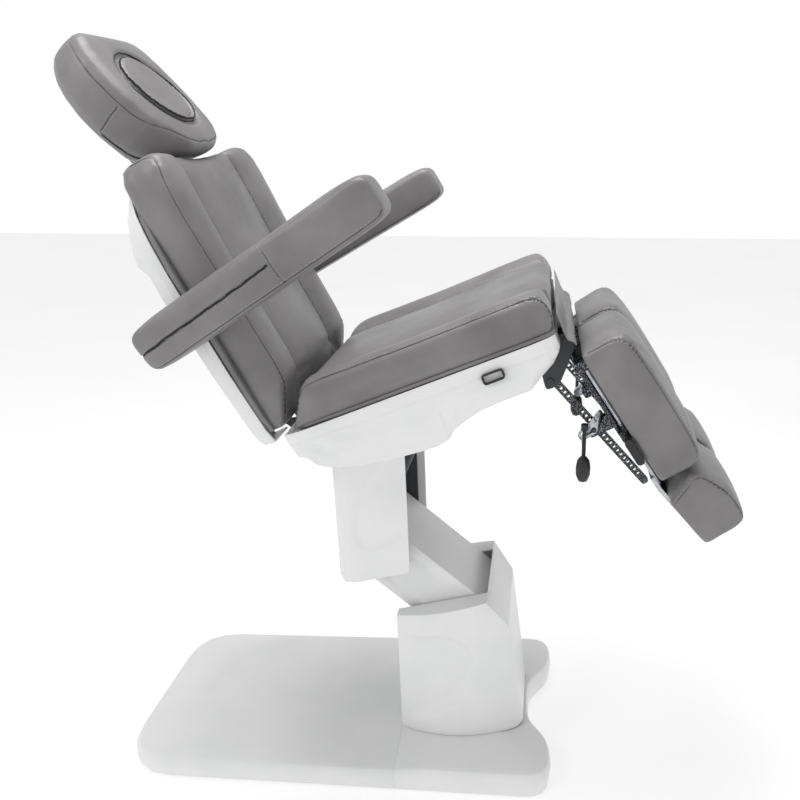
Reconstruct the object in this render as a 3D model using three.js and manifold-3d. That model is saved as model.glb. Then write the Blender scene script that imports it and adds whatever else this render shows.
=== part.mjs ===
// Podiatry chair: a motor-lifted seat on a parallelogram arm, with a reclining back, a headrest,
// two swing-up armrests and two separate leg rests, each with a pull-out foot pad.
// Millimetres, +Z up, +X towards the feet, -Y is the sitter's right-hand side.

import * as THREE from 'three';
import { mergeVertices } from 'three/addons/utils/BufferGeometryUtils.js';
import Module from 'manifold-3d';

const wasm = await Module();
wasm.setup();

// Driving dimensions
const gap = 0.3; // clearance between pieces that meet
const slack = 1; // clearance around pieces that swing past each other
const overrun = 30; // how far a cutting solid reaches past what it cuts
const sheet = 3.5; // wall of the moulded covers
const steel = 8; // thickness of the frame plates
const pinRadius = 10;
const roundSides = 14;
const cornerSteps = 3;
const boreSides = 16;

const base = {
  length: 986, halfWidth: 250, rearHalfWidth: 232, frontX: 35, rimRear: 57, rimFront: 65, crown: 74,
  seamX: -316, edgeRadius: 14, floorGap: 3, plateTop: 22, plateThickness: 8, footRadius: 22, waistDepth: 55,
  lobeHalfWidth: 205, cornerRadius: 70, rearRadius: 105, postRadius: 9, postY: 92, postX: [-720, -400, -256],
};
const column = {
  rearX: -316, frontX: -31, halfWidth: 121, bulge: 25, frontHalfWidth: 84, rearZ: 375, crestX: -114, crestZ: 432,
  shoulderX: -66, shoulderZ: 363, slotHalfWidth: 95.5, doorZ: 172, frameRearX: -196, frameFrontX: -62,
  frameHalfWidth: 106, frameTopZ: 372, frameTopX: -80, webTopZ: 290, frameCorner: 30,
};
const lift = { pivotX: -105, pivotZ: 345, length: 342, angle: 41.3, drop: 86 };
const armCover = { halfWidth: 92, above: 36, below: 66, tail: 30, nose: 30, bellyStart: 102, bellyEnd: 20 };
const armPlate = { outerY: 84, halfHeight: 24, tubeRadius: 12, tubeAt: 150, tubeRise: 8 };
const link = { outerY: 68, halfHeight: 16, coverHalfWidth: 86, coverBelow: 29, coverAbove: 26, spacerAt: 110, spacer: 8 };
const bracket = { // from the arm's upper pin
  rearX: -80, frontX: 81, bottomRearZ: -111.7, bottomFrontZ: -71.7, topZ: 227.3, halfWidth: 130, cornerRadius: 34,
  frameHalfWidth: 106, frameRearX: -62, frameFrontX: 66, eyeRadius: 17, shoulder: 45, webLowZ: 29.3, webTopZ: 151.3,
  spacerRadius: 9, spacerX: -30, spacerZ: [44.3, 134.3],
};
const tilt = { x: 5.932, z: 271.279, slope: 22, lugY: 109, stubInner: 94, stubOuter: 121, eyeRadius: 20 };
const seat = {
  rearX: -106, length: 540, rimZ: 69, rimStrip: 20, depth: 133, halfWidth: 262, bellyHalfWidth: 226,
  cushionRearTop: -48, cushionNose: 20, cushionHeight: 84, cushionHalfWidth: 261, boardThickness: 14,
  boardRearX: -78, boardShort: 30, boardInset: 14, railY: 128, railHeight: 20, railZ: 30, railRearX: -96,
  railShort: 19, lugRadius: 15, lugFoot: 30, crossDepth: 16, hatchX: 145, hatchHalfWidth: 154, bow: 15, cornerPull: 10,
};
const apron = { ahead: 12.8, sheet: 2.8, clear: 16, topZ: 132, endAngle: 2 };
const hook = { x: 284, length: 42, z: 30, height: 20, depth: 6, rim: 4 };
const backHinge = { x: -117, z: 56, lean: 26.3, reach: 154 };
const back = {
  topZ: 546, bottomZ: 22, halfWidth: 241, front: 64, rear: -24, shellRear: -60, shellHalfWidth: 250,
  shellBottomZ: 5, shellTopZ: 530, boardThickness: 12, boardHalfWidth: 188, boardLowZ: 52, boardTopZ: 470,
  railInner: 139, railDepth: 19, railKneeZ: 66, railTopZ: 410, lowBarZ: 75, midBarZ: 296, topBarZ: 382, barHeight: 22,
  hubRadius: 15, barX: -45, barY: 62, doorHalfWidth: 158, doorTopZ: 110, edge: 28, edgeStep: 14, sideStep: 7,
  cornerRise: 28,
};
const headrest = {
  hingeZ: 552, lean: 45, length: 262, halfWidth: 150, thickness: 112, barrelRadius: 9, axle: 5, barRadius: 7,
  barLowZ: 250, barrelHalf: 70, knuckleHalf: 48, roomMargin: 4, plateLowZ: 34, plateTopZ: 100, plateRear: -9,
  insetY: 90, insetZ: 84, insetFace: 119, insetCentre: 103,
};
const armrest = {
  pivotX: -42, pivotZ: 260, angleRight: 33, angleLeft: 30, length: 508, behind: 60, height: 84, lower: 31,
  innerY: 257, width: 86, shaftRadius: 10, shaftDepth: 34,
};
const leg = {
  hingeAhead: 10, hingeZ: 27, strutBack: 49, strutZ: -39, hang: 57, centreY: 119.5, halfWidth: 115.5,
  padStart: 19, padEnd: 322, padBack: 13, padFront: 109, pinRadius: 8, barrelRadius: 13, barrelHalf: 27, lugRadius: 13,
  railY: 19, railZ: -10, railRadius: 7, railEnd: 226, saddleHalf: 71, saddleLength: 21, saddleStarts: [40, 202],
  clampX: 194, clampHalf: 16, clampLowZ: -68, cheekInner: 7, cheek: 4, studRadius: 5, studX: 191, studZ: -54,
};
const strut = {
  length: 302, depth: 16, thickness: 8, slope: 8.9, pitch: 11, slotLength: 6, slotDepth: 7, slotStart: 30, pinRadius: 7,
};
const foot = {
  start: 330, end: 484, rodRadius: 5, rodY: 47, rodZ: 3, rodStart: 48, rodEnd: 345, plateHalf: 57, plateStart: 324,
  plateLowZ: -6, plateBend: 353, plateEnd: 458, plateEndZ: 11, plateSheet: 7, padLowX: 366, padTopZ: 84, padFarZ: 118,
  padFarX: 478,
};
const clamp = { x: 212.5, length: 58, radius: 8, socketY: 58, stemRadius: 5 };
const lever = {
  topX: 167, topZ: -20, lowX: 190, lowZ: -88, plateHalf: 9, crossX: 193, crossZ: -81, outY: 66, crossRadius: 3.4, rodRadius: 4,
  rise: 36, drop: 28, capRadius: 7, capLength: 12, knobRadius: 14.5, knobLength: 55, knobStart: 20,
};

// Places along the seat that keep to its front edge
const seatFront = seat.rearX + seat.length;
const seatEnd = {
  cushion: seatFront + seat.cushionNose, board: seatFront - seat.boardShort, rail: seatFront - seat.railShort,
  apron: seatFront + apron.ahead, hinge: seatFront + leg.hingeAhead, strut: seatFront - leg.strutBack,
};

const rad = THREE.MathUtils.degToRad;
const white = { color: 0xeeeeee, roughness: 0.35, metalness: 0 };
const vinyl = { color: 0x7c7a7b, roughness: 0.5, metalness: 0 };
const painted = { color: 0x3a3c3f, roughness: 0.55, metalness: 0.4 };
const bright = { color: 0xc9ccd0, roughness: 0.18, metalness: 0.95 };
const black = { color: 0x17181a, roughness: 0.5, metalness: 0 };
const wood = { color: 0xb89a70, roughness: 0.8, metalness: 0 };

// Solids and booleans
function turnedOut(geometry) {
  const index = geometry.index.array;
  const position = geometry.attributes.position;
  const a = new THREE.Vector3();
  const b = new THREE.Vector3();
  const c = new THREE.Vector3();
  let volume = 0;
  for (let i = 0; i < index.length; i += 3) {
    a.fromBufferAttribute(position, index[i]);
    b.fromBufferAttribute(position, index[i + 1]);
    c.fromBufferAttribute(position, index[i + 2]);
    volume += a.dot(b.cross(c));
  }
  if (volume < 0) {
    for (let i = 0; i < index.length; i += 3) [index[i], index[i + 1]] = [index[i + 1], index[i]];
  }
  return geometry;
}

function welded(geometry) {
  const bare = geometry.clone();
  bare.deleteAttribute('normal');
  bare.deleteAttribute('uv');
  return mergeVertices(bare);
}

function solidOf(geometry) {
  const mesh = welded(geometry);
  return new wasm.Manifold(new wasm.Mesh({
    numProp: 3,
    vertProperties: new Float32Array(mesh.attributes.position.array),
    triVerts: new Uint32Array(mesh.index.array),
  }));
}

function geometryOf(solid) {
  const mesh = solid.getMesh();
  const geometry = new THREE.BufferGeometry();
  geometry.setAttribute('position', new THREE.BufferAttribute(mesh.vertProperties, 3));
  geometry.setIndex(new THREE.BufferAttribute(mesh.triVerts, 1));
  geometry.computeVertexNormals();
  return geometry;
}

function join(...geometries) {
  return geometryOf(geometries.map(solidOf).reduce((sum, next) => sum.add(next)));
}

function cut(geometry, ...tools) {
  return geometryOf(tools.map(solidOf).reduce((rest, tool) => rest.subtract(tool), solidOf(geometry)));
}

function common(first, second) {
  return geometryOf(solidOf(first).intersect(solidOf(second)));
}

// Outlines and plain forms
function outline(points, radius = 0, Kind = THREE.Shape) {
  const path = new Kind();
  const count = points.length;
  points.forEach((point, i) => {
    const corner = new THREE.Vector2(point[0], point[1]);
    const before = new THREE.Vector2(...points[(i + count - 1) % count].slice(0, 2)).sub(corner);
    const after = new THREE.Vector2(...points[(i + 1) % count].slice(0, 2)).sub(corner);
    const reach = Math.min(point[2] ?? radius, before.length() / 2.02, after.length() / 2.02);
    const start = corner.clone().add(before.setLength(reach));
    const end = corner.clone().add(after.setLength(reach));
    if (i === 0) path.moveTo(start.x, start.y);
    else path.lineTo(start.x, start.y);
    if (reach > 0) path.quadraticCurveTo(corner.x, corner.y, end.x, end.y);
  });
  path.closePath();
  return path;
}

// A round hole whose flats lie at the radius
function hole(x, y, radius) {
  const turn = -2 * Math.PI / roundSides;
  const corner = radius / Math.cos(turn / 2);
  const points = Array.from({ length: roundSides }, (_, i) => new THREE.Vector2(
    x + corner * Math.cos(i * turn), y + corner * Math.sin(i * turn),
  ));
  return new THREE.Path(points);
}

function withHoles(shape, ...holes) {
  shape.holes.push(...holes);
  return shape;
}

// An outline drawn in X and Z, thick along Y from low to high
function plateY(shape, low, high, steps = cornerSteps) {
  const geometry = new THREE.ExtrudeGeometry(shape, { depth: high - low, bevelEnabled: false, curveSegments: steps });
  return geometry.rotateX(Math.PI / 2).translate(0, high, 0);
}

// An outline drawn in X and Y, tall along Z from low to high
function plateZ(shape, low, high, steps = cornerSteps) {
  const geometry = new THREE.ExtrudeGeometry(shape, { depth: high - low, bevelEnabled: false, curveSegments: steps });
  return geometry.translate(0, 0, low);
}

function block(x0, x1, y0, y1, z0, z1) {
  const geometry = new THREE.BoxGeometry(x1 - x0, y1 - y0, z1 - z0);
  return geometry.translate((x0 + x1) / 2, (y0 + y1) / 2, (z0 + z1) / 2);
}

function rod(from, to, radius, sides = roundSides, endRadius = radius) {
  const start = new THREE.Vector3(...from);
  const end = new THREE.Vector3(...to);
  const along = end.clone().sub(start);
  const geometry = welded(new THREE.CylinderGeometry(endRadius, radius, along.length(), sides));
  const turn = new THREE.Quaternion().setFromUnitVectors(new THREE.Vector3(0, 1, 0), along.normalize());
  return geometry.applyQuaternion(turn).translate(...start.add(end).multiplyScalar(1 / 2).toArray());
}

function rodY(x, z, radius, low, high, sides = roundSides) {
  return rod([x, low, z], [x, high, z], radius, sides);
}

// A solid turned about an axis along +X: profile points are [x, radius]
function turnedX(profile, sides = roundSides) {
  const points = profile.map(([x, radius]) => new THREE.Vector2(radius, x));
  return welded(new THREE.LatheGeometry(points, sides)).rotateZ(-Math.PI / 2);
}

// A closed skin through rings of equal count, each end closed by a fan
function loft(rings) {
  const count = rings[0].length;
  const positions = rings.flat(2);
  const index = [];
  for (let ring = 0; ring + 1 < rings.length; ring += 1) {
    for (let i = 0; i < count; i += 1) {
      const a = ring * count + i;
      const b = ring * count + (i + 1) % count;
      index.push(a, b, b + count, a, b + count, a + count);
    }
  }
  [0, rings.length - 1].forEach((ring, end) => {
    const centre = new THREE.Vector3();
    rings[ring].forEach((point) => centre.add(new THREE.Vector3(...point)));
    centre.divideScalar(count);
    const hub = positions.length / 3;
    positions.push(centre.x, centre.y, centre.z);
    for (let i = 0; i < count; i += 1) {
      const a = ring * count + i;
      const b = ring * count + (i + 1) % count;
      if (end === 0) index.push(hub, b, a);
      else index.push(hub, a, b);
    }
  });
  const geometry = new THREE.BufferGeometry();
  geometry.setAttribute('position', new THREE.Float32BufferAttribute(positions, 3));
  geometry.setIndex(index);
  return turnedOut(geometry);
}

function mirrored(halfPoints) {
  const other = halfPoints.filter(([across]) => across > 0).map(([across, up]) => [-across, up]).reverse();
  return [...halfPoints, ...other];
}

function mix(table, share) {
  const next = table.findIndex((row) => row[0] >= share);
  if (next <= 0) return table[next === 0 ? 0 : table.length - 1].slice(1);
  const [low, high] = [table[next - 1], table[next]];
  const part = (share - low[0]) / (high[0] - low[0]);
  return low.slice(1).map((value, i) => value + part * (high[i + 1] - value));
}

const model = new THREE.Group();

function add(parent, name, geometry, finish) {
  if (!geometry.attributes.normal) geometry.computeVertexNormals();
  const mesh = new THREE.Mesh(geometry, new THREE.MeshStandardMaterial(finish));
  mesh.name = name;
  parent.add(mesh);
  return mesh;
}

function frameAt(parent, x, z, angle = 0, y = 0) {
  const group = new THREE.Group();
  group.position.set(x, y, z);
  group.rotation.y = rad(angle);
  parent.add(group);
  return group;
}

// Base: plate, feet and the two-piece moulded cover
function basePlan(inset) {
  const b = base;
  const rear = b.frontX - b.length + inset;
  const front = b.frontX - inset;
  const side = b.halfWidth - inset;
  const narrowed = side / b.halfWidth;
  const half = [
    [rear, b.rearHalfWidth - inset, b.rearRadius],
    [b.seamX, side - b.edgeRadius / 2, b.cornerRadius],
    [front, side, b.cornerRadius - inset / 4],
    [front, (b.lobeHalfWidth - b.cornerRadius) * narrowed, b.cornerRadius],
    [front - b.waistDepth, b.lobeHalfWidth / 3 * narrowed, b.cornerRadius],
  ];
  const far = half.map(([x, y, r]) => [x, y, r]).reverse();
  const near = half.map(([x, y, r]) => [x, -y, r]);
  return outline([...near, ...far]).getPoints(4);
}

function baseDome(inner) {
  const b = base;
  const outerShares = [
    // inset, rim, crown
    [0.3, 0, 0], [0, 0.55, 0], [0.1, 0.8, 0], [0.4, 0.95, 0], [1, 1, 0.03], [4, 1, 0.4], [7, 1, 0.8], [9, 1, 1],
  ];
  const levelShares = inner ? [outerShares[0], outerShares[2], outerShares[4], outerShares[7]] : outerShares;
  const rings = levelShares.map(([insetShare, rimShare, crownShare], level) => {
    const inset = insetShare * b.edgeRadius + (inner ? sheet : 0);
    return basePlan(inset).slice(0, -1).map((point) => {
      const blend = THREE.MathUtils.smoothstep(point.x, b.seamX - b.edgeRadius, b.seamX + b.cornerRadius);
      const rim = b.rimRear + (b.rimFront - b.rimRear) * blend;
      const z = b.floorGap + rimShare * (rim - b.floorGap) + crownShare * (b.crown - rim);
      if (!inner) return [point.x, point.y, z];
      return [point.x, point.y, level === 0 ? -overrun : z - sheet];
    });
  });
  return loft(rings);
}

function buildBase() {
  const b = base;
  const c = column;
  const rearX = b.frontX - b.length;
  const plateLow = b.plateTop - b.plateThickness;
  const plateInset = b.cornerRadius / 2 + b.footRadius / 2;
  const corners = basePlan(plateInset).slice(0, -1);
  const plateShape = new THREE.Shape(corners);
  const posts = b.postX.flatMap((x) => [-1, 1].map((sign) => rod(
    [x, sign * b.postY, b.plateTop - slack], [x, sign * b.postY, b.crown - sheet - gap], b.postRadius,
  )));
  add(model, 'base_plate', join(plateZ(plateShape, plateLow, b.plateTop), ...posts), painted);

  const footX = { rear: rearX + plateInset + 2 * b.footRadius, front: b.frontX - plateInset - 2 * b.footRadius };
  const footY = b.lobeHalfWidth - 3 * b.footRadius;
  for (const [end, x] of Object.entries(footX)) {
    for (const [side, sign] of [['right', -1], ['left', 1]]) {
      const y = sign * footY;
      const toe = [[0, 0], [0, b.footRadius], [plateLow / 3, b.footRadius], [plateLow - gap, b.footRadius / 2], [plateLow - gap, 0]];
      const geometry = turnedX(toe, roundSides).rotateY(-Math.PI / 2).translate(x, y, 0);
      add(model, `${end}_foot_${side}`, geometry, black);
    }
  }

  const shell = cut(baseDome(false), baseDome(true));
  const wide = b.halfWidth + overrun;
  const tall = b.crown + overrun;
  const seam = b.seamX;
  const rearHalf = block(rearX - overrun, seam - gap / 2, -wide, wide, -overrun, tall);
  const frontHalf = block(seam + gap / 2, b.frontX + overrun, -wide, wide, -overrun, tall);
  const wellX = [c.frameRearX - overrun / 3, c.frameFrontX + overrun / 3];
  const wellY = c.frameHalfWidth + slack * 3;
  const well = block(...wellX, -wellY, wellY, -overrun, tall);
  add(model, 'rear_base_cover', common(shell, rearHalf), white);
  add(model, 'front_base_cover', cut(common(shell, frontHalf), well), white);
}

// Column: steel cheeks under a moulded cover, slotted behind its crest for the arm
function columnPlan(inset) {
  const c = column;
  const half = c.halfWidth - inset;
  const taper = c.halfWidth - c.frontHalfWidth;
  const corner = c.frontX - taper - inset;
  const middle = (c.rearX + corner) / 2;
  const front = c.frontX - inset;
  const frontHalf = c.frontHalfWidth - inset;
  const shape = new THREE.Shape();
  shape.moveTo(c.rearX + inset, -half);
  shape.quadraticCurveTo(middle, -half - 2 * c.bulge, corner, -half);
  shape.quadraticCurveTo(front - taper / 4, -half + taper / 4, front, -frontHalf);
  shape.quadraticCurveTo(front + inset / 2, 0, front, frontHalf);
  shape.quadraticCurveTo(front - taper / 4, half - taper / 4, corner, half);
  shape.quadraticCurveTo(middle, half + 2 * c.bulge, c.rearX + inset, half);
  shape.closePath();
  return shape;
}

function buildColumn() {
  const c = column;
  const b = base;
  const cheekInner = c.frameHalfWidth - steel;
  const plan = new THREE.Shape([
    [c.frameRearX, -c.frameHalfWidth], [c.frameFrontX, -c.frameHalfWidth], [c.frameFrontX, c.frameHalfWidth],
    [c.frameRearX, c.frameHalfWidth], [c.frameRearX, cheekInner], [c.frameFrontX - steel, cheekInner],
    [c.frameFrontX - steel, -cheekInner], [c.frameRearX, -cheekInner],
  ].map(([x, y]) => new THREE.Vector2(x, y)));
  const linkZ = lift.pivotZ - lift.drop;
  const shoulderX = (c.frameRearX + lift.pivotX) / 2;
  const side = withHoles(outline([
    [c.frameRearX - overrun, 0], [c.frameFrontX + overrun, 0], [c.frameFrontX + overrun, c.webTopZ],
    [c.frameFrontX, c.webTopZ], [c.frameTopX, c.frameTopZ], [shoulderX, c.frameTopZ, c.frameCorner],
    [c.frameRearX - overrun, linkZ, c.frameCorner],
  ]), hole(lift.pivotX, lift.pivotZ, pinRadius + gap), hole(lift.pivotX, linkZ, pinRadius + gap));
  const uprights = plateZ(plan, b.plateTop + gap, c.frameTopZ + overrun);
  const profile = plateY(side, -c.halfWidth, c.halfWidth, roundSides / 4);
  add(model, 'column_frame', common(uprights, profile), painted);
  for (const [name, z] of [['lift_arm_pin', lift.pivotZ], ['lower_link_pin', linkZ]]) {
    add(model, name, rodY(lift.pivotX, z, pinRadius, -c.frameHalfWidth - sheet, c.frameHalfWidth + sheet), bright);
  }

  const foot = b.crown + gap;
  const tall = c.crestZ + overrun;
  const far = c.halfWidth + c.bulge + overrun;
  const profileAt = (inset) => plateY(outline([
    [c.rearX - overrun, foot - overrun], [c.frontX + overrun, foot - overrun], [c.frontX + overrun, foot - inset],
    [c.frontX - inset, foot - inset], [c.shoulderX - inset, c.shoulderZ - inset / 2], [c.crestX, c.crestZ - inset],
    [c.rearX - overrun, c.rearZ - inset],
  ]), -far, far);
  const outer = plateZ(columnPlan(0), foot, tall, 7);
  const inner = plateZ(columnPlan(sheet), foot - overrun, tall, 7);
  const solid = common(outer, profileAt(0));
  const hollow = common(inner, profileAt(sheet));
  const armDoor = block(c.rearX - overrun, c.crestX, -c.slotHalfWidth, c.slotHalfWidth, c.doorZ, tall);
  add(model, 'column_cover', cut(solid, hollow, armDoor), white);
}

// Lifting arm, its parallel link and the lift motor. The arm is drawn from its upper pin, with +X
// running down to the lower pin at lift.length.
const liftTop = {
  x: lift.pivotX - lift.length * Math.cos(rad(lift.angle)),
  z: lift.pivotZ + lift.length * Math.sin(rad(lift.angle)),
};

function channel(points, halfWidth, roofZ, floorZ) {
  const inner = halfWidth - sheet;
  const solid = plateY(outline(points), -halfWidth, halfWidth);
  const hollow = block(-lift.length, 2 * lift.length, -inner, inner, roofZ, floorZ);
  return cut(solid, hollow);
}

function bothEnds(radius) {
  return [rodY(0, 0, radius, -bracket.halfWidth, bracket.halfWidth), rodY(lift.length, 0, radius, -bracket.halfWidth, bracket.halfWidth)];
}

function buildArm() {
  const arm = frameAt(model, liftTop.x, liftTop.z, lift.angle);
  const a = armCover;
  const p = armPlate;
  const shell = channel([
    [-a.tail, -a.above, a.above], [a.bellyStart / 2, -a.above, a.above], [a.bellyStart, -a.below, sheet],
    [lift.length - a.bellyEnd, -a.below, sheet], [lift.length, -a.above, a.above], [lift.length + a.nose, -a.above, a.above],
    [lift.length + a.nose, a.above, a.above], [-a.tail, a.above, a.above],
  ], a.halfWidth, -a.below - overrun, a.above - sheet);
  add(arm, 'arm_cover', cut(shell, ...bothEnds(pinRadius + slack)), white);

  const capsule = outline([
    [-p.halfHeight, -p.halfHeight, p.halfHeight], [lift.length + p.halfHeight, -p.halfHeight, p.halfHeight],
    [lift.length + p.halfHeight, p.halfHeight, p.halfHeight], [-p.halfHeight, p.halfHeight, p.halfHeight],
  ]);
  const plates = [-p.outerY, p.outerY - steel].map((low) => plateY(capsule, low, low + steel));
  const tube = rodY(p.tubeAt, p.tubeRise, p.tubeRadius, -p.outerY + steel / 2, p.outerY - steel / 2);
  const frame = cut(join(...plates, tube), ...bothEnds(pinRadius + gap));
  const u = liftMotor;
  const bosses = [-1, 1].map((sign) => {
    const inner = sign * (u.eyeHalf + slack);
    const outer = sign * (p.outerY - steel / 2);
    return rodY(u.armX, u.armZ, u.bossRadius, Math.min(inner, outer), Math.max(inner, outer));
  });
  const tipPin = rodY(u.armX, u.armZ, u.tipPin, -u.eyeHalf - steel, u.eyeHalf + steel);
  add(arm, 'arm_frame', join(frame, ...bosses, tipPin), painted);
}

function buildLink() {
  const group = frameAt(model, liftTop.x, liftTop.z - lift.drop, lift.angle);
  const k = link;
  const end = k.halfHeight + sheet;
  const shape = outline([
    [-k.halfHeight, -k.halfHeight, k.halfHeight], [lift.length + k.halfHeight, -k.halfHeight, k.halfHeight],
    [lift.length + k.halfHeight, k.halfHeight, k.halfHeight], [-k.halfHeight, k.halfHeight, k.halfHeight],
  ]);
  const bars = [-k.outerY, k.outerY - steel].map((low) => plateY(shape, low, low + steel));
  const spacer = rodY(k.spacerAt, 0, k.spacer, -k.outerY + steel / 2, k.outerY - steel / 2);
  add(group, 'lower_link', cut(join(...bars, spacer), ...bothEnds(pinRadius + gap)), painted);
  const floor = channel([
    [-end, -k.coverBelow, end], [lift.length + end, -k.coverBelow, end], [lift.length + end, k.coverAbove, end],
    [-end, k.coverAbove, end],
  ], k.coverHalfWidth, -k.coverBelow + sheet, k.coverAbove + overrun);
  add(group, 'link_cover', cut(floor, ...bothEnds(pinRadius + slack)), white);
}

// Linear motors: a housing with an eye at its foot and a rod that slides in it
const liftMotor = {
  armX: 44, armZ: -6, bossRadius: 13, tipPin: 7, bore: 12, eyeHalf: 12, eye: 18, radius: 24, closed: 248, rod: 9, sideReach: 50,
};
const tiltMotor = {
  footX: 22, footZ: 69, seatX: 166, seatZ: 24, y: 46, tipPin: 5, bore: 6.8, eyeHalf: 9, eye: 13, radius: 19, closed: 196,
  rod: 7, sideReach: 42, footPin: 8,
};
const backMotor = {
  footX: 190, footZ: 10, lever: 35, leverAngle: -145, y: -46, tipPin: 4, bore: 10, eyeHalf: 8, eye: 13.5, radius: 19,
  closed: 178, rod: 7, sideReach: -42, footPin: 6, plate: 8, lugTop: 11,
};

function between(a, b) {
  return [Math.min(a, b), Math.max(a, b)];
}

function motorHousing(m, pin) {
  const bore = m.rod + gap;
  const wall = m.radius - bore;
  const start = m.eye + sheet;
  const body = turnedX([
    [start, 0], [start, m.radius - wall / 3], [start + wall / 2, m.radius], [m.closed * 0.55, m.radius],
    [m.closed * 0.6, m.radius - wall / 2], [m.closed, bore + wall / 3], [m.closed, 0],
  ]);
  const foot = rodY(0, 0, m.eye, -m.eyeHalf, m.eyeHalf);
  const neck = block(0, m.eye + wall, -m.eyeHalf, m.eyeHalf, -m.eyeHalf, m.eyeHalf);
  const sideX = m.closed * 0.25;
  const side = rod([sideX, 0, 0], [sideX, m.sideReach, 0], m.radius * 0.8, roundSides, m.radius * 0.75);
  const barrel = rod([m.closed * 0.12, 0, 0], [m.closed + overrun, 0, 0], bore);
  return cut(join(body, foot, neck, side), rodY(0, 0, pin + gap, -overrun, overrun), barrel);
}

function motorRod(m, reach) {
  const shaft = rod([m.closed * 0.5, 0, 0], [reach - m.eye / 2, 0, 0], m.rod);
  const eye = rodY(reach, 0, m.eye, -m.eyeHalf, m.eyeHalf);
  return cut(join(shaft, eye), rodY(reach, 0, m.bore, -overrun, overrun));
}

function addMotor(name, m, from, to, pin) {
  const dx = to.x - from.x;
  const dz = to.z - from.z;
  const group = frameAt(model, from.x, from.z, -THREE.MathUtils.radToDeg(Math.atan2(dz, dx)), m.y ?? 0);
  add(group, name, motorHousing(m, pin), painted);
  add(group, `${name}_rod`, motorRod(m, Math.hypot(dx, dz)), bright);
}

function buildLiftMotor() {
  const angle = rad(lift.angle);
  const m = liftMotor;
  addMotor('lift_motor', m, { x: lift.pivotX, z: lift.pivotZ - lift.drop }, {
    x: liftTop.x + m.armX * Math.cos(angle) + m.armZ * Math.sin(angle),
    z: liftTop.z - m.armX * Math.sin(angle) + m.armZ * Math.cos(angle),
  }, pinRadius);
}

// Upper bracket on the arm, which carries the seat's tilt pin; drawn from the arm's upper pin
const bracketFrame = frameAt(model, liftTop.x, liftTop.z);

function buildBracket() {
  const k = bracket;
  const linkZ = -lift.drop;
  const inner = k.frameHalfWidth - steel;
  const side = withHoles(outline([
    [k.frameRearX, linkZ - k.eyeRadius, k.shoulder], [k.eyeRadius, linkZ - k.eyeRadius, k.eyeRadius],
    [k.frameFrontX, k.bottomFrontZ + k.eyeRadius, k.eyeRadius], [k.frameFrontX, k.webTopZ, k.shoulder],
    [tilt.x + tilt.eyeRadius, tilt.z, sheet], [tilt.x + tilt.eyeRadius, tilt.z + tilt.eyeRadius, tilt.eyeRadius],
    [tilt.x - tilt.eyeRadius, tilt.z + tilt.eyeRadius, tilt.eyeRadius], [tilt.x - tilt.eyeRadius, tilt.z, sheet],
    [k.frameRearX, k.webTopZ, k.shoulder],
  ]), hole(0, 0, pinRadius + gap), hole(0, linkZ, pinRadius + gap), hole(tilt.x, tilt.z, pinRadius + gap));
  const cheeks = [-k.frameHalfWidth, inner].map((low) => plateY(side, low, low + steel));
  const rear = block(
    k.frameRearX, k.frameRearX + steel, -k.frameHalfWidth + gap, k.frameHalfWidth - gap, k.webLowZ, k.webTopZ - k.shoulder / 2,
  );
  const m = tiltMotor;
  const stubEnds = [m.y - m.eyeHalf - sheet, inner + steel / 2];
  const stub = rodY(m.footX, m.footZ, m.footPin, ...stubEnds);
  const collar = rodY(m.footX, m.footZ, m.eye, m.y + m.eyeHalf + slack, stubEnds[1]);
  const coverReach = k.halfWidth - sheet - gap;
  const spacers = k.spacerZ.flatMap((z) => [-1, 1].map((sign) => rodY(
    k.spacerX, z, k.spacerRadius, ...between(sign * (inner + steel / 2), sign * coverReach),
  )));
  add(bracketFrame, 'bracket_frame', join(...cheeks, rear, stub, collar, ...spacers), painted);
  const reach = k.frameHalfWidth + sheet;
  add(bracketFrame, 'upper_arm_pin', rodY(0, 0, pinRadius, -reach, reach), bright);
  add(bracketFrame, 'upper_link_pin', rodY(0, linkZ, pinRadius, -reach, reach), bright);
  add(bracketFrame, 'tilt_pin_right', rodY(tilt.x, tilt.z, pinRadius, -tilt.stubOuter, -tilt.stubInner), bright);
  add(bracketFrame, 'tilt_pin_left', rodY(tilt.x, tilt.z, pinRadius, tilt.stubInner, tilt.stubOuter), bright);

  const plan = outline([
    [k.rearX, -k.halfWidth, k.cornerRadius], [k.frontX, -k.halfWidth], [k.frontX, k.halfWidth],
    [k.rearX, k.halfWidth, k.cornerRadius],
  ]);
  const innerPlan = outline([
    [k.rearX + sheet, -k.halfWidth + sheet, k.cornerRadius - sheet], [k.frontX + overrun, -k.halfWidth + sheet],
    [k.frontX + overrun, k.halfWidth - sheet], [k.rearX + sheet, k.halfWidth - sheet, k.cornerRadius - sheet],
  ]);
  const low = k.bottomRearZ - overrun;
  const high = k.topZ + overrun;
  const shell = cut(plateZ(plan, low, high), plateZ(innerPlan, low - overrun, high + overrun));
  const profile = plateY(outline([
    [k.rearX - slack, k.bottomRearZ, k.shoulder], [k.frontX, k.bottomFrontZ, sheet * 2],
    [k.frontX + slack, k.topZ, sheet], [k.rearX - slack, k.topZ, sheet],
  ]), -k.halfWidth - overrun, k.halfWidth + overrun);
  add(bracketFrame, 'bracket_cover', common(shell, profile), white);

  const seatPoint = seatFrame.localToWorld(new THREE.Vector3(m.seatX, 0, m.seatZ));
  addMotor('tilt_motor', m, { x: liftTop.x + m.footX, z: liftTop.z + m.footZ }, seatPoint, m.footPin);
}

// Seat: drawn from the tilt pin, with +X along its slope
const seatFrame = frameAt(bracketFrame, tilt.x, tilt.z, -tilt.slope);

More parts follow.
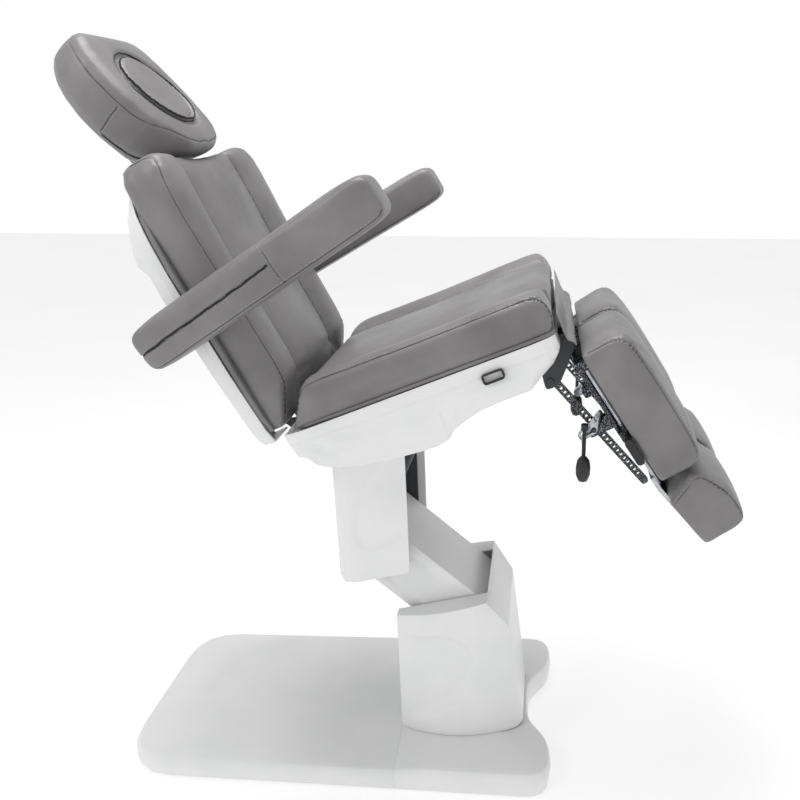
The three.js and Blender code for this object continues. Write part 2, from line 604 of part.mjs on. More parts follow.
function seatRings(inset) {
  const s = seat;
  const shares = [
    // along, width, depth
    [-0.012, 0.945, 0.33], [0, 0.965, 0.5], [0.03, 0.985, 0.66], [0.085, 1, 0.78], [0.165, 1, 0.865],
    [0.283, 1, 0.947], [0.42, 1, 0.995], [0.47, 1, 1], [0.514, 1, 0.96], [0.54, 1, 0.86], [0.6, 1, 0.78],
    [0.662, 1, 0.716], [0.76, 1, 0.69], [0.85, 1, 0.69], [0.9, 0.998, 0.56], [0.955, 0.985, 0.44],
    [0.985, 0.96, 0.33], [0.998, 0.93, 0.24],
  ];
  return shares.map(([along, width, depth], i) => {
    const pull = i < 3 ? inset * (3 - i) / 3 : 0;
    const push = i > shares.length - 4 ? inset * (i - shares.length + 4) / 3 : 0;
    const x = s.rearX + along * s.length + pull - push;
    const half = s.halfWidth * width - inset;
    const belly = s.bellyHalfWidth * width - inset;
    const floor = s.rimZ - s.depth * depth + inset;
    const crease = s.rimZ - s.depth * Math.min(0.37, depth * 0.62);
    const top = inset > 0 ? s.rimZ + overrun : s.rimZ;
    const lipZ = s.rimZ - s.rimStrip;
    const lip = inset > 0 ? half : half - slack * 2;
    const section = mirrored([
      [half, top], [half, lipZ], [lip, lipZ - slack], [half - slack * 2, crease], [half - slack * 5, crease - sheet * 2],
      [belly + sheet, floor + sheet], [belly - sheet * 3, floor],
    ]);
    return section.map(([across, up]) => [x, across, up]);
  });
}

function cushionRings(stations, sectionShares, place) {
  return stations.map((station) => mirrored(sectionShares).map(([across, up]) => place(station, across, up)));
}

// An upright plate between two heights with a round eye at a point
function lugPlate(foot, eye, radius, y0, y1) {
  return plateY(outline([
    [foot.x0, foot.z], [eye.x - radius, eye.z, radius], [eye.x - radius, eye.z - radius, radius],
    [eye.x + radius, eye.z - radius, radius], [eye.x + radius, eye.z, radius], [foot.x1, foot.z],
  ]), ...between(y0, y1));
}

function buildSeat() {
  const s = seat;
  const t = tilt;
  const h = backHinge;
  const railTop = s.railZ + s.railHeight;
  const r = s.lugRadius;
  const parts = [];
  for (const sign of [-1, 1]) {
    const rail = between(sign * s.railY, sign * (s.railY + steel));
    parts.push(block(s.railRearX, seatEnd.rail, ...rail, s.railZ, railTop));
    parts.push(plateY(outline([
      [h.x - r, h.z - r, r], [s.railRearX + r, s.railZ], [s.railRearX + r, railTop], [h.x + r, h.z + r, r],
      [h.x - r, h.z + r, r],
    ]), ...rail));
    parts.push(lugPlate({ x0: -s.lugFoot, x1: s.lugFoot, z: railTop }, { x: 0, z: 0 }, r, sign * t.lugY, sign * (t.lugY + steel)));
    parts.push(block(-s.lugFoot, s.lugFoot, ...between(sign * t.lugY, sign * (s.railY + steel / 2)), s.railZ + r / 2, railTop));
    for (const face of [-1, 1]) {
      const inner = sign * leg.centreY + face * (leg.barrelHalf + slack);
      const q = leg.lugRadius;
      parts.push(plateY(outline([
        [seatEnd.rail - s.lugFoot, railTop], [seatEnd.strut - q, leg.strutZ, q], [seatEnd.strut - q, leg.strutZ - q, q],
        [seatEnd.strut + q, leg.strutZ - q, q], [seatEnd.hinge + q, leg.hingeZ - q, q], [seatEnd.hinge + q, leg.hingeZ + q, q],
        [seatEnd.hinge - q, leg.hingeZ + q, q], [seatEnd.rail, railTop],
      ]), ...between(inner, inner + face * steel)));
    }
    for (const [x, z, radius] of [[seatEnd.hinge, leg.hingeZ, leg.pinRadius], [seatEnd.strut, leg.strutZ, strut.pinRadius]]) {
      const half = leg.barrelHalf + slack + steel + sheet;
      parts.push(rodY(x, z, radius, sign * leg.centreY - half, sign * leg.centreY + half));
    }
  }
  const legReach = leg.centreY + leg.barrelHalf + slack + steel;
  parts.push(block(seatEnd.rail - s.crossDepth, seatEnd.rail, -legReach + gap, legReach - gap, s.railZ + gap, railTop - gap));
  for (const [m, x, z, pin] of [
    [backMotor, backMotor.footX, backMotor.footZ, backMotor.footPin], [tiltMotor, tiltMotor.seatX, tiltMotor.seatZ, tiltMotor.tipPin],
  ]) {
    for (const face of [-1, 1]) {
      const inner = m.y + face * (m.eyeHalf + slack);
      parts.push(lugPlate({ x0: x - m.eye, x1: x + m.eye, z: railTop }, { x, z }, m.eye, inner, inner + face * steel));
    }
    const half = m.eyeHalf + slack + steel / 2;
    parts.push(rodY(x, z, pin, m.y - half, m.y + half));
  }
  const barX = [tiltMotor.seatX - tiltMotor.eye, backMotor.footX + backMotor.eye];
  const barHalf = s.railY + steel / 2;
  parts.push(block(...barX, -barHalf, barHalf, railTop - steel, railTop - gap));
  const tiltHole = rodY(0, 0, pinRadius + gap, -s.halfWidth, s.halfWidth);
  const backHole = rodY(h.x, h.z, pinRadius + gap, -s.halfWidth, s.halfWidth);
  add(seatFrame, 'seat_frame', cut(join(...parts), tiltHole, backHole), painted);
  for (const [side, sign] of [['right', -1], ['left', 1]]) {
    const ends = between(sign * (s.railY - sheet), sign * h.reach);
    add(seatFrame, `back_hinge_pin_${side}`, rodY(h.x, h.z, pinRadius, ...ends), bright);
  }

  const boardLow = railTop + gap;
  const boardHalf = s.halfWidth - s.boardInset;
  const board = block(s.boardRearX, seatEnd.board, -boardHalf, boardHalf, boardLow, s.rimZ);
  const m = backMotor;
  const notch = block(s.rearX - overrun, 0, m.y - overrun, m.y + overrun, boardLow - overrun, s.rimZ + overrun);
  add(seatFrame, 'seat_board', cut(board, notch), wood);

  const below = s.rimZ - s.depth - overrun;
  const hatch = block(s.rearX - overrun, s.hatchX, -s.hatchHalfWidth, s.hatchHalfWidth, below, s.rimZ - sheet);
  const rearSlot = block(
    s.rearX - overrun, h.x + s.lugRadius + slack, -s.hatchHalfWidth, s.hatchHalfWidth, below, s.rimZ + overrun,
  );
  const legSlots = [-1, 1].map((side) => {
    const half = leg.barrelHalf + steel + sheet * 4;
    const y = side * leg.centreY;
    return block(seatEnd.strut - overrun, seatFront + overrun, y - half, y + half, below, s.rimZ - s.rimStrip);
  });
  add(seatFrame, 'seat_shell', cut(loft(seatRings(0)), loft(seatRings(sheet)), hatch, rearSlot, ...legSlots), white);

  const stations = [
    // along, width, rise
    [0, 0.93, 0.86], [0.012, 0.97, 0.94], [0.035, 0.99, 0.985], [0.09, 1, 1], [0.25, 1, 0.985], [0.45, 1, 0.97],
    [0.65, 1, 0.985], [0.8, 1, 1], [0.91, 0.995, 1], [0.965, 0.985, 0.985], [0.99, 0.965, 0.94], [1, 0.925, 0.86],
  ];
  const sectionShares = [
    // across, up
    [0, 0], [0.95, 0], [0.995, 0.1], [0.985, 0.4], [1, 0.7], [0.985, 0.88], [0.94, 0.97], [0.86, 1], [0.76, 0.985],
    [0.67, 0.92], [0.62, 0.82], [0.58, 0.85], [0.4, 0.87], [0, 0.88],
  ];
  const rings = cushionRings(stations, sectionShares, ([along, width, rise], across, up) => {
    const rear = s.rearX + (s.cushionRearTop - s.rearX) * up * rise;
    const front = seatEnd.cushion - s.bow * (2 * up - 1) ** 2;
    const pull = s.cornerPull * Math.abs(across) ** 4 * (along > 0.5 ? 1 : -1) * Math.abs(2 * along - 1) ** 8;
    return [
      rear + along * (front - rear) - pull, across * width * s.cushionHalfWidth, s.rimZ + gap + up * rise * s.cushionHeight,
    ];
  });
  add(seatFrame, 'seat_cushion', loft(rings), vinyl);
  buildApron();
  buildHook();
}

function buildApron() {
  const inner = seatEnd.apron;
  const outer = inner + apron.sheet;
  const far = apron.clear + apron.sheet;
  const arcPoints = (radius, x) => {
    const start = Math.acos((x - seatEnd.hinge) / radius);
    return [0, 1 / 3, 2 / 3, 1].map((share) => start + share * (rad(apron.endAngle) - start)).map((angle) => [
      seatEnd.hinge + radius * Math.cos(angle), leg.hingeZ + radius * Math.sin(angle),
    ]);
  };
  const ring = [
    [inner, apron.topZ], [outer, apron.topZ], ...arcPoints(far, outer), ...arcPoints(apron.clear, inner).reverse(),
  ];
  const shape = new THREE.Shape(ring.map(([x, z]) => new THREE.Vector2(x, z)));
  add(seatFrame, 'front_apron', plateY(shape, -seat.bellyHalfWidth, seat.bellyHalfWidth), vinyl);
}

// Hook for a hand control on the right-hand side of the shell
function buildHook() {
  const wall = seat.halfWidth + gap;
  const outer = block(hook.x, hook.x + hook.length, -wall - hook.depth, -wall, hook.z, hook.z + hook.height);
  const room = block(
    hook.x + hook.rim, hook.x + hook.length - hook.rim, -wall - hook.depth - slack, -wall - hook.rim / 2, hook.z + hook.rim,
    hook.z + hook.height + slack,
  );
  add(seatFrame, 'handset_hook', cut(outer, room), black);
}

// Back rest: drawn from its hinge, with +Z up the back and +X out of its front face
const backFrame = frameAt(seatFrame, backHinge.x, backHinge.z, tilt.slope - backHinge.lean);

function backShellRings(inset) {
  const b = back;
  const widthShares = [
    [0, 0.93], [0.07, 0.975], [0.25, 1], [0.58, 1], [0.7, 0.99], [0.8, 0.97], [0.88, 0.94], [0.94, 0.88], [1, 0.75],
  ];
  const shares = [
    // up, rear depth
    [0, 0.86], [0.02, 0.97], [0.06, 1], [0.3, 1.05], [0.6, 1.15], [0.71, 1.12], [0.755, 1.4], [0.79, 1.32],
    [0.84, 1.1], [0.9, 0.78], [0.95, 0.45], [1, 0.16],
  ];
  return shares.map(([up, depth], i) => {
    const raise = i < 2 ? inset * (2 - i) / 2 : 0;
    const drop = i > shares.length - 3 ? inset * (i - shares.length + 3) / 2 : 0;
    const z = b.shellBottomZ + up * (b.shellTopZ - b.shellBottomZ) + raise - drop;
    const half = mix(widthShares, up)[0] * b.shellHalfWidth - inset;
    const rear = b.rear + depth * (b.shellRear - b.rear) + inset;
    const front = inset > 0 ? b.front : b.rear - gap;
    const wall = b.rear + depth / 3 * (b.shellRear - b.rear);
    const section = mirrored([
      [half, front], [half, wall], [half - b.sideStep, wall - sheet / 3], [half - b.edgeStep, rear + sheet / 3],
      [half - b.edge, rear],
    ]);
    return section.map(([across, x]) => [x, across, z]);
  });
}

function buildBackFrame() {
  const b = back;
  const railLow = b.railInner;
  const railHigh = railLow + steel;
  const railRear = b.rear - b.boardThickness - gap - b.railDepth;
  const railFront = railRear + b.railDepth - gap;
  const r = b.hubRadius;
  const railShape = outline([
    [-r, -r, r], [r, -r, r], [r, r / 2, r / 2], [b.rear - slack, b.bottomZ - slack, sheet],
    [railFront, b.boardLowZ - slack, sheet], [railFront, b.railTopZ], [railRear, b.railTopZ], [railRear, b.railKneeZ, r],
  ]);
  const parts = [[-railHigh, -railLow], [railLow, railHigh]].map(([low, high]) => plateY(railShape, low, high));
  for (const z of [b.lowBarZ, b.midBarZ, b.topBarZ]) {
    parts.push(block(railRear + gap, railFront - gap, -railHigh + steel / 2, railHigh - steel / 2, z, z + b.barHeight));
  }
  const m = backMotor;
  const angle = rad(m.leverAngle + tilt.slope - backHinge.lean);
  const tip = [m.lever * Math.cos(angle), m.lever * Math.sin(angle)];
  const e = m.lugTop;
  for (const face of [-1, 1]) {
    const inner = m.y + face * (m.eyeHalf + slack);
    parts.push(plateY(outline([
      [tip[0] - e, tip[1] - e, e], [tip[0] + e, tip[1] - e, e], [r, -r, r], [r, r / 2, r / 2],
      [b.rear - slack, b.bottomZ - slack], [railFront, b.boardLowZ - slack], [railFront, b.lowBarZ + r],
      [railRear + slack, b.lowBarZ + r], [tip[0] - e, r],
    ]), ...between(inner, inner + face * m.plate)));
  }
  const pinHalf = m.eyeHalf + slack + m.plate / 2;
  parts.push(rodY(...tip, m.tipPin, m.y - pinHalf, m.y + pinHalf));
  const hingeHole = rodY(0, 0, pinRadius + gap, -seat.halfWidth, seat.halfWidth);
  const barHoles = [-1, 1].map((side) => {
    const y = side * b.barY;
    return rod([b.barX, y, b.lowBarZ + b.barHeight + overrun], [b.barX, y, b.topZ], headrest.barRadius + gap);
  });
  const frame = cut(join(...parts), hingeHole, ...barHoles);
  const shafts = [-1, 1].map((side) => rodY(
    armrest.pivotX, armrest.pivotZ, armrest.shaftRadius,
    ...between(side * (railLow + steel / 2), side * (armrest.innerY + armrest.shaftDepth)),
  ));
  add(backFrame, 'back_frame', join(frame, ...shafts), painted);
}

function buildBack() {
  const b = back;
  buildBackFrame();
  const board = block(b.rear - b.boardThickness, b.rear - gap, -b.boardHalfWidth, b.boardHalfWidth, b.boardLowZ, b.boardTopZ);
  const grooves = rodY(
    armrest.pivotX, armrest.pivotZ, armrest.shaftRadius + slack, -armrest.innerY, armrest.innerY,
  );
  add(backFrame, 'back_board', cut(board, grooves), wood);

  const door = b.doorHalfWidth;
  const hatch = block(b.shellRear - overrun, b.rear + overrun, -door, door, b.shellBottomZ - overrun, b.doorTopZ);
  const shaftHole = rodY(armrest.pivotX, armrest.pivotZ, armrest.shaftRadius + slack, -armrest.innerY, armrest.innerY);
  const barSlots = [-1, 1].map((side) => {
    const y = side * b.barY;
    return rod([b.barX, y, b.topBarZ], [b.barX, y, b.topZ + overrun], headrest.barRadius + slack);
  });
  const shell = cut(loft(backShellRings(0)), loft(backShellRings(sheet)), hatch, shaftHole, ...barSlots);
  add(backFrame, 'back_shell', shell, white);

  const stations = [
    // up, front, rear, width
    [0, 0.14, 1, 0.96], [0.02, 0.27, 1, 0.98], [0.07, 0.5, 1, 0.99], [0.16, 0.95, 1, 1], [0.24, 1, 1, 1],
    [0.4, 0.985, 1, 1], [0.58, 0.96, 1, 1], [0.7, 0.975, 1, 1], [0.8, 1.01, 1, 1], [0.88, 1.04, 1, 0.99],
    [0.94, 1.05, 1, 0.965], [0.98, 0.98, 0.85, 0.9], [1, 0.82, 0.5, 0.8],
    [1, 0.6, 0.3, 0.3],
  ];
  const sectionShares = [
    // across, out
    [0, 0], [0.93, 0], [0.99, 0.14], [0.985, 0.42], [1, 0.62], [0.985, 0.84], [0.93, 0.96], [0.84, 1], [0.7, 0.985],
    [0.58, 0.92], [0.515, 0.8], [0.47, 0.84], [0.3, 0.87], [0, 0.88],
  ];
  const rings = cushionRings(stations, sectionShares, ([up, front, rear, width], across, out) => {
    const rearX = b.rear * rear;
    const rise = b.cornerRise * (across * width) ** 2 * up ** 8;
    return [
      rearX + out * (b.front * front - rearX), across * width * b.halfWidth, b.bottomZ + up * (b.topZ - b.bottomZ) + rise,
    ];
  });
  add(backFrame, 'back_cushion', loft(rings), vinyl);
  buildHeadrest();
  buildArmrest('right', -1, armrest.angleRight);
  buildArmrest('left', 1, armrest.angleLeft);
}

// An oval column along X, centred at a height
function ovalX(halfY, halfZ, low, high, z) {
  const shape = new THREE.Shape();
  shape.absellipse(0, 0, halfZ, halfY, 0, 2 * Math.PI);
  const geometry = new THREE.ExtrudeGeometry(shape, { depth: high - low, bevelEnabled: false, curveSegments: 16 });
  return geometry.rotateY(Math.PI / 2).translate(low, 0, z);
}

function buildHeadrest() {
  const b = back;
  const h = headrest;
  const bars = [-1, 1].map((side) => rod([b.barX, side * b.barY, h.barLowZ], [b.barX, side * b.barY, h.hingeZ], h.barRadius));
  const barrel = rodY(b.barX, h.hingeZ, h.barrelRadius, -h.barrelHalf, h.barrelHalf);
  const roomHalf = h.knuckleHalf + slack;
  const room = rodY(b.barX, h.hingeZ, h.barrelRadius + h.roomMargin, -roomHalf, roomHalf);
  const axle = rodY(b.barX, h.hingeZ, h.axle, -b.barY, b.barY);
  add(backFrame, 'headrest_bars', join(cut(join(...bars, barrel), room), axle), bright);

  const head = frameAt(backFrame, b.barX, h.hingeZ, backHinge.lean - h.lean);
  const r = h.barrelRadius;
  const carrier = plateY(outline([
    [-r, -r, r], [r, -r, r], [r, 0], [-gap, h.plateLowZ], [-gap, h.plateTopZ], [h.plateRear, h.plateTopZ],
    [-r, r, r],
  ]), -h.knuckleHalf, h.knuckleHalf);
  add(head, 'headrest_carrier', cut(carrier, rodY(0, 0, h.axle + gap, -h.halfWidth, h.halfWidth)), painted);

  const stations = [
    // up, rear, front
    [-0.11, 0.78, 0.94], [-0.085, 0.62, 1], [-0.035, 0.4, 1.04], [0.02, 0.2, 1.06], [0.065, 0.06, 1.07], [0.13, 0, 1.08],
    [0.32, 0, 1.09], [0.42, 0.01, 1.1], [0.53, 0.03, 1.11], [0.66, 0.08, 1.13], [0.77, 0.14, 1.15], [0.85, 0.2, 1.15],
    [0.9, 0.25, 1.1], [0.945, 0.28, 0.85], [0.985, 0.33, 0.5],
  ];
  const sectionShares = [
    // across, out
    [0, 0], [0.55, 0.02], [0.84, 0.12], [0.96, 0.3], [1, 0.55], [0.985, 0.78], [0.93, 0.92], [0.8, 0.985], [0.45, 1], [0, 1.01],
  ];
  const middleShare = 0.44;
  const reachShare = 0.555;
  const squareness = 2.5;
  const rings = cushionRings(stations, sectionShares, ([up, rear, front], across, out) => {
    const far = Math.min(0.975, Math.abs(up - middleShare) / reachShare);
    const width = (1 - far ** squareness) ** (1 / squareness);
    return [(rear + out * (front - rear)) * h.thickness, across * width * h.halfWidth, up * h.length];
  });
  const pad = loft(rings);
  const dish = ovalX(h.insetY, h.insetZ, h.insetFace, h.insetFace + overrun, h.insetCentre);
  const margin = 2 * slack;
  const panel = ovalX(h.insetY - margin, h.insetZ - margin, h.insetFace + gap, h.insetFace + overrun, h.insetCentre);
  add(head, 'headrest_pad', cut(pad, dish), vinyl);
  add(head, 'headrest_panel', common(pad, panel), vinyl);
}

function buildArmrest(side, sign, angle) {
  const a = armrest;
  const arm = frameAt(backFrame, a.pivotX, a.pivotZ, backHinge.lean - angle, sign * (a.innerY + a.width / 2));
  const stations = [
    // along, width, rise
    [0, 0.8, 0.62], [0.012, 0.92, 0.84], [0.035, 0.98, 0.96], [0.08, 1, 1], [0.3, 1, 1], [0.6, 1, 0.99], [0.92, 1, 1],
    [0.965, 0.98, 0.95], [0.988, 0.92, 0.82], [1, 0.8, 0.6],
  ];
  const sectionShares = [
    // across, up
    [0, 0], [0.86, 0.01], [0.97, 0.09], [1, 0.4], [1, 0.72], [0.96, 0.9], [0.84, 0.975], [0.5, 1], [0, 1.01],
  ];
  const middle = a.height / 2 - a.lower;
  const rings = cushionRings(stations, sectionShares, ([along, width, rise], across, up) => [
    along * a.length - a.behind, across * width * a.width / 2, middle + (up - 0.5) * rise * a.height,
  ]);
  const reach = a.width / 2;
  const pocket = between(-sign * (reach + overrun), -sign * (reach - a.shaftDepth - gap));
  add(arm, `armrest_${side}`, cut(loft(rings), rodY(0, 0, a.shaftRadius + gap, ...pocket)), vinyl);
}

// Leg rests: drawn from their hinge, with +X down the leg and +Z out of the pad
function buildLegs() {
  for (const [side, sign] of [['right', -1], ['left', 1]]) {
    const y = sign * leg.centreY;
    const group = frameAt(seatFrame, seatEnd.hinge, leg.hingeZ, leg.hang + tilt.slope, y);
    buildLegFrame(group, side, sign);
    buildLegPad(group, side);
    buildFoot(group, side);
    buildClamp(group, side, sign);
    buildLever(group, side, sign);
    buildStrut(frameAt(seatFrame, seatEnd.strut, leg.strutZ, leg.hang + tilt.slope - strut.slope, y), side);
  }
}

function buildLegFrame(group, side, sign) {
  const l = leg;
  const f = foot;
  const parts = [rodY(0, 0, l.barrelRadius, -l.barrelHalf, l.barrelHalf)];
  for (const face of [-1, 1]) {
    parts.push(rod([0, face * l.railY, l.railZ], [l.railEnd, face * l.railY, l.railZ], l.railRadius, 16));
    parts.push(plateY(outline([
      [l.clampX - l.clampHalf, l.railZ], [l.clampX - l.clampHalf * 0.7, l.clampLowZ, l.studRadius],
      [l.clampX + l.clampHalf * 0.7, l.clampLowZ, l.studRadius], [l.clampX + l.clampHalf, l.railZ],
    ]), ...between(face * l.cheekInner, face * (l.cheekInner + l.cheek))));
  }
  for (const x of l.saddleStarts) {
    parts.push(block(x, x + l.saddleLength, -l.saddleHalf, l.saddleHalf, l.railZ, l.padBack - gap));
  }
  const bridgeHalf = l.cheekInner + l.cheek + sheet;
  parts.push(block(l.clampX - l.clampHalf, l.clampX + l.clampHalf, -bridgeHalf, bridgeHalf, l.railZ - l.railRadius, l.railZ));
  const studY = between(sign * (l.cheekInner + l.cheek / 2), sign * (l.cheekInner + 3 * l.cheek));
  parts.push(rodY(l.studX, l.studZ, l.studRadius, ...studY, boreSides));
  const pinHole = rodY(0, 0, l.pinRadius + gap, -l.halfWidth, l.halfWidth);
  const rodHoles = [-1, 1].map((face) => rod([0, face * f.rodY, f.rodZ], [l.padEnd, face * f.rodY, f.rodZ], f.rodRadius + gap, boreSides));
  const socket = rodY(clamp.x, f.rodZ, clamp.stemRadius + gap, ...between(sign * clamp.socketY, sign * l.halfWidth), boreSides);
  add(group, `leg_frame_${side}`, cut(join(...parts), pinHole, ...rodHoles, socket), bright);
}

const padSectionShares = [
  // across, up
  [0, 0], [0.94, 0], [0.985, 0.09], [0.98, 0.4], [1, 0.68], [0.985, 0.86], [0.93, 0.96], [0.8, 1], [0.4, 1.02], [0, 1.03],
];

function buildLegPad(group, side) {
  const l = leg;
  const stations = [
    // along, width, rise
    [0, 0.88, 0.72], [0.015, 0.94, 0.86], [0.045, 0.98, 0.96], [0.1, 1, 1.02], [0.3, 1, 1.06], [0.55, 1, 1.07],
    [0.8, 1, 1.06], [0.92, 0.99, 1.02], [0.965, 0.97, 0.94], [0.99, 0.92, 0.82], [1, 0.86, 0.7],
  ];
  const rings = cushionRings(stations, padSectionShares, ([along, width, rise], across, up) => [
    l.padStart + along * (l.padEnd - l.padStart), across * width * l.halfWidth, l.padBack + up * rise * (l.padFront - l.padBack),
  ]);
  add(group, `leg_pad_${side}`, loft(rings), vinyl);
}

function buildFoot(group, side) {
  const f = foot;
  const rods = [-1, 1].map((face) => rod([f.rodStart, face * f.rodY, f.rodZ], [f.rodEnd, face * f.rodY, f.rodZ], f.rodRadius, 16));
  const plate = plateY(outline([
    [f.plateStart, f.plateLowZ], [f.plateBend, f.plateLowZ], [f.plateEnd, f.plateEndZ],
    [f.plateEnd, f.plateEndZ + f.plateSheet], [f.plateBend, f.rodZ - gap], [f.plateStart, f.rodZ - gap],
  ]), -f.plateHalf, f.plateHalf);
  add(group, `foot_slide_${side}`, join(...rods, plate), bright);

  const stations = [
    // along the bottom, along the top, width, rise
    [0, 0, 0.86, 0.78], [0.03, 0.02, 0.93, 0.87], [0.08, 0.07, 0.98, 0.96], [0.2, 0.17, 1, 1.01], [0.5, 0.5, 1, 1.03],
    [0.8, 0.8, 1, 1.02], [0.93, 0.93, 0.98, 0.98], [0.98, 0.98, 0.93, 0.9], [1, 1, 0.86, 0.8],
  ];
  const plateSlope = (f.plateEndZ + f.plateSheet - f.rodZ) / (f.plateEnd - f.plateBend);
  const rings = cushionRings(stations, padSectionShares, ([bottom, top, width, rise], across, up) => {
    const x0 = f.padLowX + bottom * (f.end - f.padLowX);
    const z0 = f.rodZ + plateSlope * (x0 - f.plateBend) + 2 * gap;
    const x1 = f.start + top * (f.padFarX - f.start);
    const z1 = f.padTopZ + Math.min(1, top * 2) * (f.padFarZ - f.padTopZ);
    return [x0 + up * (x1 - x0), across * width * leg.halfWidth, z0 + up * rise * (z1 - z0)];
  });
  add(group, `foot_pad_${side}`, loft(rings), vinyl);
}

function buildClamp(group, side, sign) {
  const r = clamp.radius;
  const far = clamp.length - r;
  const grip = plateY(outline([[-r, -r, r], [far, -r, r], [far, r, r], [-r, r, r]]), ...between(sign * (leg.halfWidth - 2 * r), sign * leg.halfWidth));
  const stem = rodY(0, 0, clamp.stemRadius, ...between(sign * (clamp.socketY + slack), sign * (leg.halfWidth - r)), boreSides);
  add(frameAt(group, clamp.x, foot.rodZ), `foot_clamp_${side}`, join(grip, stem), black);
}

function buildLever(group, side, sign) {
  const v = lever;
  const l = leg;
  const face = l.cheekInner + l.cheek + slack;
  const half = v.plateHalf;
  const plate = plateY(withHoles(outline([
    [v.topX + half, v.topZ, half], [v.topX - half, v.topZ, half], [l.studX - 2 * half, l.studZ, half],
    [v.lowX - half, v.lowZ, half], [v.lowX + half, v.lowZ, half], [l.studX + half, l.studZ, half],
  ]), hole(l.studX, l.studZ, l.studRadius + gap)), ...between(sign * face, sign * (face + l.cheek)));
  const cross = rodY(v.crossX, v.crossZ, v.crossRadius, ...between(sign * (face + slack), sign * v.outY), 12);
  const down = [Math.sin(rad(l.hang)), -Math.cos(rad(l.hang))];
  const at = (distance) => [v.crossX + down[0] * distance, sign * v.outY, v.crossZ + down[1] * distance];
  const stem = rod(at(-v.rise - sheet), at(v.drop), v.rodRadius, 12);
  const cap = rod(at(-v.rise - v.capLength), at(-v.rise), v.capRadius, 12);
  const knobShares = [[0, 0], [0, 0.42], [0.14, 0.83], [0.4, 1], [0.7, 0.96], [0.91, 0.65], [1, 0]];
  const knob = turnedX(knobShares.map(([along, radius]) => [along * v.knobLength, radius * v.knobRadius]), 16);
  const turn = new THREE.Quaternion().setFromUnitVectors(new THREE.Vector3(1, 0, 0), new THREE.Vector3(down[0], 0, down[1]));
  knob.applyQuaternion(turn).translate(...at(v.knobStart));
  add(group, `leg_lever_${side}`, join(plate, cross, stem, cap, knob), black);
}

function buildStrut(group, side) {
  const s = strut;
  const half = s.depth / 2;
  const bar = plateY(outline([[0, -half], [s.length, -half, half], [s.length, half, half], [0, half]]), -s.thickness / 2, s.thickness / 2);
  const eye = rodY(0, 0, leg.barrelRadius, -leg.barrelHalf, leg.barrelHalf);
  const count = Math.floor((s.length - s.slotStart - s.depth) / s.pitch);
  const slots = Array.from({ length: count }, (_, i) => s.slotStart + i * s.pitch).map((x) => block(
    x, x + s.slotLength, -s.thickness, s.thickness, -s.slotDepth / 2, s.slotDepth / 2,
  ));
  const bore = rodY(0, 0, s.pinRadius + gap, -leg.halfWidth, leg.halfWidth);
  add(group, `leg_strut_${side}`, cut(join(bar, eye), bore, ...slots), bright);
}

buildBase();
buildColumn();
buildArm();
buildLink();
buildLiftMotor();
buildBracket();
buildSeat();
addMotor('back_motor', backMotor, backMotorFoot(), backMotorTip(), backMotor.footPin);
buildBack();
buildLegs();

function backMotorFoot() {
  return seatFrame.localToWorld(new THREE.Vector3(backMotor.footX, 0, backMotor.footZ));
}

function backMotorTip() {
  const m = backMotor;
  const angle = rad(m.leverAngle);
  return seatFrame.localToWorld(new THREE.Vector3(
    backHinge.x + m.lever * Math.cos(angle), 0, backHinge.z + m.lever * Math.sin(angle),
  ));
}

// The whole chair is centred over the origin and stands on z = 0
model.updateMatrixWorld(true);
const bounds = new THREE.Box3().setFromObject(model, true);
const centre = bounds.getCenter(new THREE.Vector3());
model.position.set(-centre.x, -centre.y, 0);

export default model;
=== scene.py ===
"""Podiatry chair: upholstery, moulded covers and finishes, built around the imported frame."""

import math

import bmesh
import bpy
from mathutils import Matrix, Vector, noise
from mathutils.bvhtree import BVHTree
from mathutils.kdtree import KDTree


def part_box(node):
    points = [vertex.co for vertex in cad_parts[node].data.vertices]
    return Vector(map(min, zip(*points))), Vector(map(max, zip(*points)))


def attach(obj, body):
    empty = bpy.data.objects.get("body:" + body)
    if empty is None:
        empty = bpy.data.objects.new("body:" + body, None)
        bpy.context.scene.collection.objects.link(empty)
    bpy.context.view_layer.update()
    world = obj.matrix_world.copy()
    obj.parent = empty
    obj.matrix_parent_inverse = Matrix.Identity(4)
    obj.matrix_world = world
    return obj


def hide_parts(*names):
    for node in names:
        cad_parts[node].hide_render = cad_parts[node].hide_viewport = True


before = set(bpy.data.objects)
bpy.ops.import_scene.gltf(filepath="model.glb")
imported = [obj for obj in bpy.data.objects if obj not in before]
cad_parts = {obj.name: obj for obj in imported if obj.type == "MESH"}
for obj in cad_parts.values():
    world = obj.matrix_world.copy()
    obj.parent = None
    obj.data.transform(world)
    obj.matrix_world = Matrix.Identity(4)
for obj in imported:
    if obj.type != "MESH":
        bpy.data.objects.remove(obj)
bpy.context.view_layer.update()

bl_info = {
    "name": "Podiatry Chair Upholstery",
    "version": (1, 0, 0),
    "blender": (4, 5, 0),
    "location": "3D Viewport > Sidebar > Chair",
    "description": "Stuffed pads, sewn seams, moulded covers and finishes of a podiatry chair",
    "category": "Object",
}

MM = 0.001
ARM_PIN_X = -105  # x of the arm's lower pin, where the camera stands at x 0
CENTRE_SHIFT = sum(corner.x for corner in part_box("lift_arm_pin")) / 2 / MM - ARM_PIN_X  # the part is centred along X
SIDES = (("right", -1), ("left", 1))
SEAM_STEP = 2 * MM  # from sample to sample along a seam
SEAM_SKIN = 5.5 * MM  # the width beside a seam that gets a finer mesh
SEAM_REACH, PUCKER_REACH = 10 * MM, 30 * MM  # how far a plain and a puckered seam pull the cover


# ---------------------------------------------------------------- local frames of the chair
def frame_at(parent, x, y, z, lean):
    """A frame inside another, in millimetres, leaning back by a number of degrees."""
    place = Matrix.Translation(Vector((x, y, z)) * MM)
    return parent @ place @ Matrix.Rotation(math.radians(-lean), 4, "Y")


